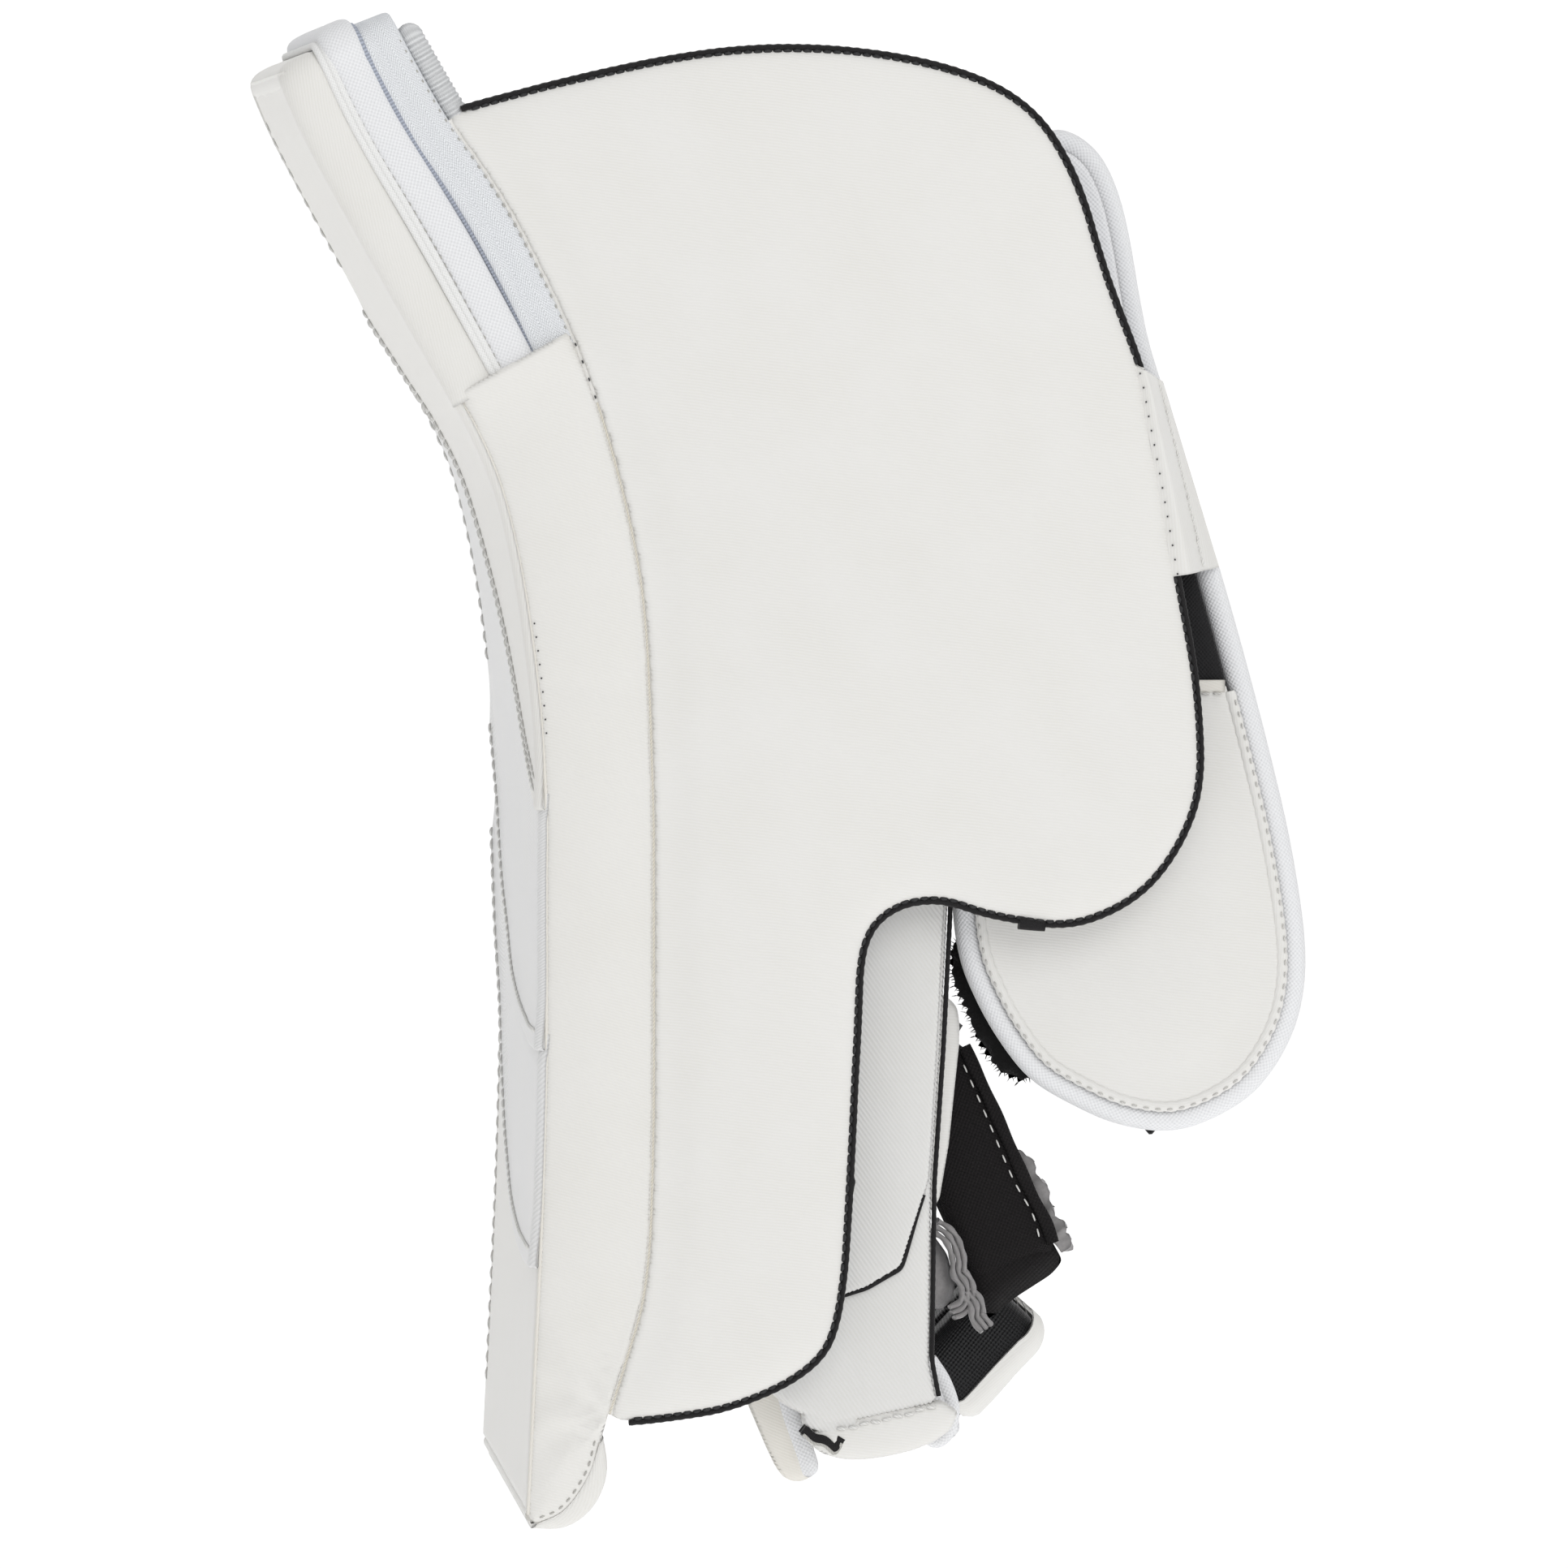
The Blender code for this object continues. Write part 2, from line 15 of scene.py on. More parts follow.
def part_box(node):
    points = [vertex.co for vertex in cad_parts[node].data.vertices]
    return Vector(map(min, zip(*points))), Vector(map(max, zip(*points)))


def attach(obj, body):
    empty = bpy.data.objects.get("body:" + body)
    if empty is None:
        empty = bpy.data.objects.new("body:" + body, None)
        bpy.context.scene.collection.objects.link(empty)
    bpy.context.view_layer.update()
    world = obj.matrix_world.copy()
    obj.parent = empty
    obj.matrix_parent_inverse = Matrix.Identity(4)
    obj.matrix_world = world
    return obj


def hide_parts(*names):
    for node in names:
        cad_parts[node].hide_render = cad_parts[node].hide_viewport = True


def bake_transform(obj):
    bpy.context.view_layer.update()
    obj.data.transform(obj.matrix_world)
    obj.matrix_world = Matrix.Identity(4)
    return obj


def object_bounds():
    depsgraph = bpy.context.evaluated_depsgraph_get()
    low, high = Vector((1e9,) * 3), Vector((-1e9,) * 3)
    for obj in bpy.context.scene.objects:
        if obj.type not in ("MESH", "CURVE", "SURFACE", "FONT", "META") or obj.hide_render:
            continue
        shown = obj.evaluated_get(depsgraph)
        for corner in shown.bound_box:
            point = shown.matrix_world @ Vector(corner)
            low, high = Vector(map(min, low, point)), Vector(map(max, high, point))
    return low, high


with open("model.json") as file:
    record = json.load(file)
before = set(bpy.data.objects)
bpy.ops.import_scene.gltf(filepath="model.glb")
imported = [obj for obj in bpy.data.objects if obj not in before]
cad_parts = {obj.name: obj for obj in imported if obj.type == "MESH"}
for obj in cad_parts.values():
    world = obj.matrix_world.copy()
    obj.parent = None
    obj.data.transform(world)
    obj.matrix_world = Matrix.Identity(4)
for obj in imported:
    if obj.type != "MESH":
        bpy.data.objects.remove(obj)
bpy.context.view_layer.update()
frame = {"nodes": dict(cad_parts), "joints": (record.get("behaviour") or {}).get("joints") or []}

NODES = frame["nodes"]
MM = 0.001
TAU = 2 * math.pi
THUMBWARD = (0, -1, 0)      # out of the side that the camera sees
ON_EDGE = 1e-7              # anything nearer to an outline than this is on it
BLOCK = 1500                # points handled at once where every pair is measured


# ---------------------------------------------------------------- lines

def arc(line):
    """Distance along a line at each of its points."""
    return np.concatenate([[0.0], np.cumsum(np.linalg.norm(np.diff(line, axis=0), axis=1))])


def even(line, step, closed=False):
    """The same line with its points evenly spaced, about a step apart."""
    loop = np.vstack([line, line[:1]]) if closed else np.asarray(line, float)
    along = arc(loop)
    places = np.linspace(0, along[-1], max(3, round(along[-1] / step)) + 1)
    result = np.column_stack([np.interp(places, along, column) for column in loop.T])
    return result[:-1] if closed else result


def spline(points, step, closed=False):
    """A smooth line through the points, evenly sampled."""
    p = np.asarray(points, float)
    count = len(p)
    pieces = []
    for i in range(count if closed else count - 1):
        b, c = p[i], p[(i + 1) % count]
        a = p[i - 1] if closed or i > 0 else 2 * b - c
        d = p[(i + 2) % count] if closed or i + 2 < count else 2 * c - b
        samples = max(3, int(2 * np.linalg.norm(c - b) / step))
        t = np.linspace(0, 1, samples, endpoint=False)[:, None]
        pieces.append(0.5 * (2 * b + (c - a) * t + (2 * a - 5 * b + 4 * c - d) * t ** 2
                             + (3 * b - a - 3 * c + d) * t ** 3))
    if not closed:
        pieces.append(p[-1:])
    return even(np.concatenate(pieces), step, closed)


def unit(vectors):
    """Vectors of length one, or nothing where there is none."""
    return vectors / np.maximum(np.linalg.norm(vectors, axis=-1, keepdims=True), 1e-12)


def direction(line, closed=False):
    """The way a line runs at each of its points."""
    if closed:
        return unit(np.roll(line, -1, 0) - np.roll(line, 1, 0))
    return unit(np.gradient(line, axis=0))


def left(line, closed=False):
    """Unit normals on the left of a flat line's direction."""
    along = direction(line, closed)
    return np.column_stack([-along[:, 1], along[:, 0]])


def at(line, share):
    """Points at given shares of the length of an evenly spaced line."""
    place = np.clip(np.asarray(share, float), 0, 1) * (len(line) - 1)
    steps = np.arange(len(line))
    return np.stack([np.interp(place, steps, column) for column in np.asarray(line).T], -1)


def lift(xz, y):
    """Flat (x, z) points as 3-D points at depth y."""
    xz = np.asarray(xz, float)
    return np.column_stack([xz[:, 0], np.broadcast_to(y, len(xz)), xz[:, 1]])


def mm(*points):
    """Millimetres as metres."""
    return np.array(points, float) * MM


def to_line(points, line, closed=False):
    """Distance from flat points to a line, and how far along the line the nearest place is."""
    loop = np.vstack([line, line[:1]]) if closed else np.asarray(line)
    start, step = loop[:-1], np.diff(loop, axis=0)
    size = np.maximum((step ** 2).sum(1), 1e-16)
    lengths = arc(loop)
    distances, places = [], []
    for block in np.array_split(points, max(1, len(points) // BLOCK)):
        t = np.clip(((block[:, None] - start) * step).sum(-1) / size, 0, 1)
        gaps = np.linalg.norm(block[:, None] - (start + t[..., None] * step), axis=-1)
        nearest = gaps.argmin(1)
        rows = np.arange(len(block))
        distances.append(gaps[rows, nearest])
        places.append(lengths[nearest] + t[rows, nearest] * np.sqrt(size[nearest]))
    return np.concatenate(distances), np.concatenate(places)


def inside(points, ring):
    """Whether each flat point is inside a closed ring."""
    a, b = ring, np.roll(ring, -1, 0)
    hits = np.zeros(len(points), int)
    for (ax, az), (bx, bz) in zip(a, b):
        if az != bz:
            spans = (points[:, 1] < az) != (points[:, 1] < bz)
            hits += spans & (points[:, 0] < ax + (points[:, 1] - az) / (bz - az) * (bx - ax))
    return hits % 2 == 1


def vertices(mesh):
    """The places of a mesh's vertices."""
    return np.array([v.co for v in mesh.vertices], float)


def outline(node):
    """Outline of a flat CAD piece, cut at half its depth: (x, z) corners, counter-clockwise."""
    mesh = NODES[node].data
    places = np.round(vertices(mesh), 7)
    level = (places[:, 1].min() + places[:, 1].max()) / 2
    links = {}
    for polygon in mesh.polygons:
        corners = [tuple(places[i]) for i in polygon.vertices]
        cuts = []
        for a, b in zip(corners, corners[1:] + corners[:1]):
            if (a[1] < level) != (b[1] < level):
                a, b = sorted((a, b))
                t = (level - a[1]) / (b[1] - a[1])
                cuts.append((a[0] + (b[0] - a[0]) * t, a[2] + (b[2] - a[2]) * t))
        if len(cuts) == 2 and cuts[0] != cuts[1]:
            links.setdefault(cuts[0], []).append(cuts[1])
            links.setdefault(cuts[1], []).append(cuts[0])
    ring = [next(iter(links))]
    while True:
        onward = [p for p in links[ring[-1]] if len(ring) < 2 or p != ring[-2]]
        if not onward or onward[0] == ring[0]:
            break
        ring.append(onward[0])
    ring = np.array(ring)
    turn = np.cross(direction(ring, True), unit(np.roll(ring, -1, 0) - ring))
    ring = ring[np.abs(turn) > 0.002]
    x, z = ring.T
    return ring if (x * np.roll(z, -1) - np.roll(x, -1) * z).sum() > 0 else ring[::-1]


# ---------------------------------------------------------------- mesh makers

def make_piece(name, points, faces, material, uvs=None):
    """A smooth-shaded mesh object; closed shapes are turned right side out."""
    points = np.asarray(points, float)
    volume = 0.0
    for size in sorted({len(face) for face in faces}):
        group = points[np.array([face for face in faces if len(face) == size])]
        for k in range(1, size - 1):
            volume += (group[:, 0] * np.cross(group[:, k], group[:, k + 1])).sum()
    faces = [list(map(int, face)) for face in faces]
    if volume < 0:
        faces = [face[::-1] for face in faces]
        uvs = None if uvs is None else [corner[::-1] for corner in uvs]
    mesh = bpy.data.meshes.new(name)
    mesh.from_pydata(points.tolist(), [], faces)
    mesh.polygons.foreach_set("use_smooth", [True] * len(faces))
    if uvs is not None:
        layer = mesh.uv_layers.new(name="metres")
        layer.data.foreach_set("uv", np.concatenate([np.asarray(c, float) for c in uvs]).ravel())
    mesh.materials.append(material)
    obj = bpy.data.objects.new(name, mesh)
    bpy.context.scene.collection.objects.link(obj)
    return obj


def quads(rows, columns, wrap_rows=False, wrap_columns=False):
    """Faces of a grid of points, and each corner's (row, column) counted without wrapping."""
    r, c = np.meshgrid(np.arange(rows - (not wrap_rows)), np.arange(columns - (not wrap_columns)),
                       indexing="ij")
    r, c = r.ravel(), c.ravel()
    corners = [(r, c), (r + 1, c), (r + 1, c + 1), (r, c + 1)]
    faces = np.stack([(a % rows) * columns + b % columns for a, b in corners], 1)
    return faces, np.stack([np.stack([a, b], -1) for a, b in corners], 1)


def grid_lengths(grid, wrap_rows=False, wrap_columns=False):
    """Distances down the middle column and along the middle row, with the closing step."""
    rows, columns = grid.shape[:2]
    down, along = grid[:, columns // 2], grid[rows // 2]
    return (arc(np.vstack([down, down[:1]]) if wrap_rows else down),
            arc(np.vstack([along, along[:1]]) if wrap_columns else along))


def tube_grid(name, grid, material, closed=False):
    """A tube from rings of points (rows of the grid); open ends get caps."""
    rows, columns = grid.shape[:2]
    faces, corners = quads(rows, columns, closed, True)
    down, along = grid_lengths(grid, closed, True)
    uvs = np.stack([down[corners[..., 0]], along[corners[..., 1]]], -1)
    points = grid.reshape(-1, 3)
    faces, uvs = list(faces), list(uvs)
    if not closed:
        for start, ring in ((0, grid[0]), ((rows - 1) * columns, grid[-1])):
            middle = len(points)
            points = np.vstack([points, ring.mean(0)])
            order = range(columns) if start else range(columns)[::-1]
            for k in order:
                after = (k + 1) % columns
                pair = (k, after) if start else (after, k)
                faces.append([start + pair[0], start + pair[1], middle])
                uvs.append(np.zeros((3, 2)) + along[k])
    return make_piece(name, points, faces, material, uvs)


def sweep(name, path, normals, profile, material, closed=False):
    """A strip or cord: a closed profile of (across, out) points carried along a path.

    The profile is fixed, or a function of the distance along the path."""
    path = np.asarray(path, float)
    along = direction(path, closed)
    out = np.broadcast_to(np.asarray(normals, float), path.shape)
    out = unit(out - (out * along).sum(-1, keepdims=True) * along)
    across = np.cross(along, out)
    if callable(profile):
        rings = np.stack([profile(s) for s in arc(path)])
    else:
        rings = np.broadcast_to(profile, (len(path), *np.shape(profile)))
    grid = (path[:, None] + across[:, None] * rings[..., :1] + out[:, None] * rings[..., 1:])
    return tube_grid(name, grid, material, closed)


def oval(across, out, count=12, power=2.0):
    """A closed superellipse profile with these half sizes."""
    t = np.linspace(0, TAU, count, endpoint=False)
    c, s = np.cos(t), np.sin(t)
    return np.column_stack([across * np.sign(c) * np.abs(c) ** (2 / power),
                            out * np.sign(s) * np.abs(s) ** (2 / power)])


def strap_profile(half_width, height, sink=0.4 * MM, power=3.0):
    """A flat-bottomed strip, domed on top."""
    t = np.linspace(0, math.pi, 14)
    c, s = np.cos(t), np.sin(t)
    top = np.column_stack([half_width * np.sign(c) * np.abs(c) ** (2 / power),
                           height * np.abs(s) ** (2 / power)])
    return np.vstack([top, [[-half_width * 0.97, -sink], [half_width * 0.97, -sink]]])


def shell(name, grid, thickness, material, wrap_columns=False):
    """A sheet with its own thickness: the grid is its outer face."""
    rows, columns = grid.shape[:2]
    d_row = np.gradient(grid, axis=0)
    if wrap_columns:
        d_column = np.roll(grid, -1, 1) - np.roll(grid, 1, 1)
    else:
        d_column = np.gradient(grid, axis=1)
    normal = unit(np.cross(d_row, d_column))
    thickness = np.broadcast_to(thickness, (rows, columns))[..., None]
    inner = grid - normal * thickness
    faces, corners = quads(rows, columns, False, wrap_columns)
    down, along = grid_lengths(grid, False, wrap_columns)
    uv = np.stack([down[corners[..., 0]], along[corners[..., 1]]], -1)
    size = rows * columns
    points = np.vstack([grid.reshape(-1, 3), inner.reshape(-1, 3)])
    all_faces = list(faces) + list(faces[:, ::-1] + size)
    uvs = list(uv) + list(uv[:, ::-1])
    index = np.arange(size).reshape(rows, columns)
    if wrap_columns:
        rims = [np.append(index[0], index[0, 0]), np.append(index[-1], index[-1, 0])[::-1]]
    else:
        rims = [np.concatenate([index[0], index[1:, -1], index[-1, -2::-1], index[-2::-1, 0]])]
    place = np.stack(np.meshgrid(down[:rows], along[:columns], indexing="ij"), -1).reshape(-1, 2)
    for rim in rims:
        for a, b in zip(rim, rim[1:]):
            all_faces.append([b, a, a + size, b + size])
            uvs.append(place[[b, a, a, b]])
    return make_piece(name, points, all_faces, material, uvs)


EDGE_FRINGE = mm(0.25, 0.8, 1.7, 3.0)


def fill(ring, spacing, fringe=EDGE_FRINGE):
    """Triangles that fill a closed ring, closer near its edge; and each point's distance in."""
    inward = left(ring, True)
    groups = [ring]
    for depth in fringe:
        line = even(ring + inward * depth, max(1.2 * MM, depth * 0.8), True)
        line = line[inside(line, ring)]
        groups.append(line[to_line(line, ring, True)[0] > depth * 0.93])
    low, high = ring.min(0), ring.max(0)
    xs = np.arange(low[0], high[0], spacing)
    zs = np.arange(low[1], high[1], spacing * 0.866)
    grid = np.stack(np.meshgrid(xs, zs), -1)
    grid[1::2, :, 0] += spacing / 2
    grid = grid.reshape(-1, 2)
    grid = grid[inside(grid, ring)]
    groups.append(grid[to_line(grid, ring, True)[0] > fringe[-1] + spacing * 0.55])
    points = np.vstack(groups)
    edges = [(i, (i + 1) % len(ring)) for i in range(len(ring))]
    found = geometry.delaunay_2d_cdt([Vector(p) for p in points], edges, [], 1, ON_EDGE)
    xz = np.array([tuple(v) for v in found[0]])
    return xz, np.array(found[2]), to_line(xz, ring, True)[0]


def pad(name, ring, low_y, high_y, material, spacing=3.0 * MM, edge_y=None, fringe=EDGE_FRINGE):
    """A closed padded panel. Each side's depth is a number or a function of (distance in, xz)."""
    xz, triangles, depth = fill(ring, spacing, fringe)
    rim = depth < ON_EDGE
    near, far = (side(depth, xz) if callable(side) else np.full(len(xz), side)
                 for side in (low_y, high_y))
    if edge_y is not None:
        near = np.where(rim, edge_y, near)
    count = len(xz)
    far_index = np.where(rim, np.arange(count), count + np.cumsum(~rim) - 1)
    points = np.vstack([lift(xz, near), lift(xz, far)[~rim]])
    faces = [list(t) for t in triangles] + [list(far_index[t][::-1]) for t in triangles]
    uvs = [xz[t] for t in triangles] + [xz[t][::-1] for t in triangles]
    return make_piece(name, points, faces, material, uvs)


def dome(depth, radius, height):
    """Height of a rounded edge: nothing at the edge, all of it one radius in."""
    t = np.clip(1 - depth / radius, 0, 1)
    return height * np.sqrt(1 - t * t)


def domed(level, radius, height):
    """A side for a pad: a level that rises by height, or falls, within a radius of its edge."""
    return lambda depth, xz: level + dome(depth, radius, height)


def ease(t):
    """A smooth step from 0 to 1."""
    t = np.clip(t, 0, 1)
    return t * t * (3 - 2 * t)


def ripple(points, size, seed):
    """Smooth seeded unevenness from -1 to 1, with features of about the given size."""
    waves = 7
    dice = np.random.default_rng(seed)
    total = 0
    for _ in range(waves):
        turn, phase = dice.uniform(0, TAU, 2)
        pitch = size * dice.uniform(0.8, 2.2)
        total = total + np.sin((points[..., 0] * math.cos(turn) + points[..., 1] * math.sin(turn))
                               * TAU / pitch + phase)
    return total / waves


def stitches(name, path, normals, material, pitch=3.6 * MM, length=2.7 * MM, radius=0.3 * MM,
             slant=0.0):
    """A row of separate sewn stitches along a path, as one mesh."""
    path = even(np.asarray(path, float), 0.5 * MM)
    out = unit(np.broadcast_to(np.asarray(normals, float), path.shape)
               if np.ndim(normals) == 1 else at(np.asarray(normals), np.linspace(0, 1, len(path))))
    s = arc(path)
    centres = np.arange(length, s[-1] - length / 2, pitch)
    t = np.array([-1.0, -0.86, -0.5, 0.0, 0.5, 0.86, 1.0])
    places = centres[:, None] + t * length / 2
    middle = np.stack([np.interp(places, s, column) for column in path.T], -1)
    normal = unit(np.stack([np.interp(places, s, column) for column in out.T], -1))
    along = unit(np.gradient(middle, axis=1))
    side = np.cross(along, normal)
    middle = middle + normal * ((0.22 * MM * (1 - t ** 2) - radius * 0.45 * t ** 4)[:, None])
    middle = middle + side * (slant * t)[:, None]
    size = radius * np.array([0.35, 0.8, 1.0, 1.05, 1.0, 0.8, 0.35])
    turn = np.linspace(0, TAU, 6, endpoint=False)
    ring = (side[:, :, None] * np.cos(turn)[:, None] + normal[:, :, None] * np.sin(turn)[:, None])
    points = middle[:, :, None] + ring * size[:, None, None]
    faces_one, _ = quads(len(t), 6, False, True)
    caps = [list(range(6))[::-1], list(range(6 * (len(t) - 1), 6 * len(t)))]
    faces, uvs = [], []
    for k in range(len(centres)):
        start = k * 6 * len(t)
        faces += [list(face + start) for face in faces_one]
        faces += [[corner + start for corner in cap] for cap in caps]
    for face in faces:
        uvs.append([(face[i] // 6 * 0.4 * MM, face[i] % 6 * 0.3 * MM) for i in range(len(face))])
    return make_piece(name, points.reshape(-1, 3), faces, material, uvs)


def swollen(ring, cap):
    """Blows up a cloth pad sewn all round and returns where its face ends up: places, heights."""
    half, spacing, frames = 0.6 * MM, 5.5 * MM, 18
    xz, triangles, depth = fill(ring, spacing, mm(2.5))
    proxy = pad("cloth_trial", ring, lambda d, p: -half * (d > 1e-7), half, LEATHER, spacing,
                fringe=mm(2.5))
    mesh = proxy.data
    rest = vertices(mesh)
    rim = to_line(rest[:, [0, 2]], ring, True)[0] < 1e-6
    group = proxy.vertex_groups.new(name="sewn")
    group.add(np.flatnonzero(rim).tolist(), 1.0, "ADD")
    cloth = proxy.modifiers.new("Cloth", "CLOTH")
    cloth.settings.quality = 4
    cloth.settings.mass = 0.3
    cloth.settings.tension_stiffness = cloth.settings.compression_stiffness = 12
    cloth.settings.bending_stiffness = 2
    cloth.settings.vertex_group_mass = "sewn"
    cloth.settings.use_pressure = True
    cloth.settings.uniform_pressure_force = 4.0
    cloth.settings.effector_weights.gravity = 0
    cloth.point_cache.frame_start, cloth.point_cache.frame_end = 1, frames
    for number in range(1, frames + 1):
        bpy.context.scene.frame_set(number)
    blown = proxy.evaluated_get(bpy.context.evaluated_depsgraph_get()).to_mesh()
    after = vertices(blown)
    bpy.data.objects.remove(proxy)
    bpy.context.scene.frame_set(1)
    front = (rest[:, 1] < 0) | rim
    height = np.clip(np.where(rim, 0, rest[:, 1] - after[:, 1]), 0, cap)[front]
    return rest[front][:, [0, 2]], height


def sample(field, points):
    """Reads a scattered field of heights at other places."""
    places, heights = field
    result = []
    for block in np.array_split(points, max(1, len(points) // BLOCK)):
        gaps = np.linalg.norm(block[:, None] - places, axis=-1)
        nearest = np.argpartition(gaps, 5, axis=1)[:, :6]
        weight = 1 / (np.take_along_axis(gaps, nearest, 1) + 0.6 * MM) ** 2
        result.append((heights[nearest] * weight).sum(1) / weight.sum(1))
    return np.concatenate(result)


def pillow(name, low, high, radius, puff, material, turn=None, steps=14):
    """A stuffed block: rounded corners and edges, faces swelling in the middle."""
    low, high = np.asarray(low, float), np.asarray(high, float)
    half, centre = (high - low) / 2, (high + low) / 2
    lines = np.linspace(-1, 1, steps + 1)
    a, b = np.meshgrid(lines, lines, indexing="ij")
    points, faces, uvs = [], [], []
    for axis in range(3):
        for side in (-1, 1):
            face = np.zeros((steps + 1, steps + 1, 3))
            face[..., axis] = side
            face[..., (axis + 1) % 3] = a if side > 0 else b
            face[..., (axis + 2) % 3] = b if side > 0 else a
            box = face * half
            core = np.clip(box, -(half - radius), half - radius)
            swell = np.prod([1 - face[..., k] ** 2 for k in range(3) if k != axis], axis=0)
            place = core + unit(box - core) * radius
            place[..., axis] += side * puff * swell
            index, _ = quads(steps + 1, steps + 1)
            faces += list(index + len(points) * (steps + 1) ** 2)
            flat = box[..., [(axis + 1) % 3, (axis + 2) % 3]].reshape(-1, 2)
            uvs += list(flat[index])
            points.append(place.reshape(-1, 3))
    points = np.vstack(points)
    _, first, same = np.unique(np.round(points, 8), axis=0, return_index=True, return_inverse=True)
    same = same.reshape(-1)
    faces = [same[face] for face in faces]
    points = points[first] + centre
    if turn is not None:
        points = turn(points)
    return make_piece(name, points, faces, material, uvs)


def settle(obj, body, slot, *nodes, fill=None, held=None, on=()):
    """Hang a piece on the body that it moves with, and hide the CAD nodes that it stands for.

    body is a name, or two names with the places where a bend between them starts and ends; with two
    names nothing bends, the piece is only fixed where it stands, and the names and places are not
    used.
    The slot, a padded piece's fill, and how a sheet is held and what it rests on are not used."""
    if nodes:
        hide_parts(*nodes)
    if isinstance(body, str):
        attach(obj, body)
    else:
        first, second, start, end = body
        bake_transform(obj)
        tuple(start)
        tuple(end)
    return obj


def sew(body, slot, *line, **shape):
    """A row of stitches, settled on its body."""
    return settle(stitches(*line, **shape), body, slot)


# ---------------------------------------------------------------- materials

class Finish:
    """A procedural material, built node by node on the piece's own metric UV map."""

    def __init__(self, name, colour, roughness, specular=0.4, sheen=0.0, sheen_tint=(1, 1, 1)):
        self.material = bpy.data.materials.new(name)
        self.material.use_nodes = True
        self.tree = self.material.node_tree
        self.shader = self.tree.nodes["Principled BSDF"]
        self.set("Base Color", (*colour, 1))
        self.set("Roughness", roughness)
        self.set("Specular IOR Level", specular)
        self.set("Sheen Weight", sheen)
        self.set("Sheen Roughness", 0.45)
        self.set("Sheen Tint", (*sheen_tint, 1))
        self.colour = colour
        uv = self.add("ShaderNodeUVMap")
        uv.uv_map = "metres"
        self.uv = uv.outputs[0]
        split = self.add("ShaderNodeSeparateXYZ", Vector=self.uv)
        self.u, self.v = split.outputs[0], split.outputs[1]
        self.place = self.add("ShaderNodeTexCoord").outputs["Object"]

    def set(self, socket, value):
        if isinstance(value, bpy.types.NodeSocket):
            self.tree.links.new(value, self.shader.inputs[socket])
        else:
            self.shader.inputs[socket].default_value = value

    def add(self, kind, **inputs):
        made = self.tree.nodes.new(kind)
        for name, value in inputs.items():
            socket = made.inputs[name]
            if isinstance(value, bpy.types.NodeSocket):
                self.tree.links.new(value, socket)
            else:
                socket.default_value = value
        return made

    def math(self, operation, a, b=0.0):
        made = self.tree.nodes.new("ShaderNodeMath")
        made.operation = operation
        for socket, value in zip(made.inputs, (a, b)):
            if isinstance(value, bpy.types.NodeSocket):
                self.tree.links.new(value, socket)
            else:
                socket.default_value = value
        return made.outputs[0]

    def half_wave(self, place, pitch):
        """A smooth wave from 0 to 1 along a coordinate in metres."""
        sine = self.math("SINE", self.math("MULTIPLY", place, TAU / pitch))
        return self.math("ADD", self.math("MULTIPLY", sine, 0.5), 0.5)

    def slope(self, angle):
        """A coordinate in metres that runs at an angle to the U axis."""
        return self.math("ADD", self.math("MULTIPLY", self.u, math.cos(angle)),
                         self.math("MULTIPLY", self.v, math.sin(angle)))

    def noise(self, scale, detail=3.0):
        return self.add("ShaderNodeTexNoise", Vector=self.place, Scale=scale,
                        Detail=detail).outputs["Fac"]

    def ramp(self, factor, *stops):
        made = self.add("ShaderNodeValToRGB", Fac=factor)
        elements = made.color_ramp.elements
        for element, (place, colour) in zip(elements, (stops[0], stops[-1])):
            element.position, element.color = place, (*colour, 1)
        for place, colour in stops[1:-1]:
            elements.new(place).color = (*colour, 1)
        return made.outputs[0]

    def shades(self, factor, low, high=1.0):
        """Tint the base colour from low to high times its value."""
        self.set("Base Color", self.ramp(factor, (0.0, [c * low for c in self.colour]),
                                         (1.0, [c * high for c in self.colour])))

    def rough(self, factor, low, high):
        spread = self.math("MULTIPLY", factor, high - low)
        self.set("Roughness", self.math("ADD", spread, low))

    def bumps(self, *layers):
        """Stack (height, depth in metres) layers of relief."""
        normal = None
        for height, depth in layers:
            bump = self.add("ShaderNodeBump", Height=height, Distance=depth, Strength=1.0)
            if normal is not None:
                self.tree.links.new(normal, bump.inputs["Normal"])
            normal = bump.outputs[0]
        self.set("Normal", normal)
        return self.material


def leather(name, colour, angle, pitch=0.72 * MM, emboss=0.035 * MM, roughness=0.46):
    """Synthetic leather with a fine twill embossed in it."""
    f = Finish(name, colour, roughness, specular=0.42, sheen=0.05)
    wander = f.math("MULTIPLY", f.noise(60, 2), 1.2 * MM)
    twill = f.half_wave(f.math("ADD", f.slope(angle), wander), pitch)
    pores = f.add("ShaderNodeTexVoronoi", Vector=f.place, Scale=2300).outputs["Distance"]
    cloud = f.noise(45, 4)
    mottled = f.math("ADD", f.math("MULTIPLY", twill, 0.35), f.math("MULTIPLY", cloud, 0.65))
    r, g, b = colour
    f.set("Base Color", f.ramp(mottled, (0.15, (r * 0.955, g * 0.95, b * 0.93)),
                               (0.55, colour), (0.9, (r * 1.015, g * 1.015, b * 1.02))))
    f.rough(cloud, roughness - 0.08, roughness + 0.1)
    return f.bumps((f.noise(120, 3), 0.10 * MM), (pores, 0.012 * MM), (twill, emboss))


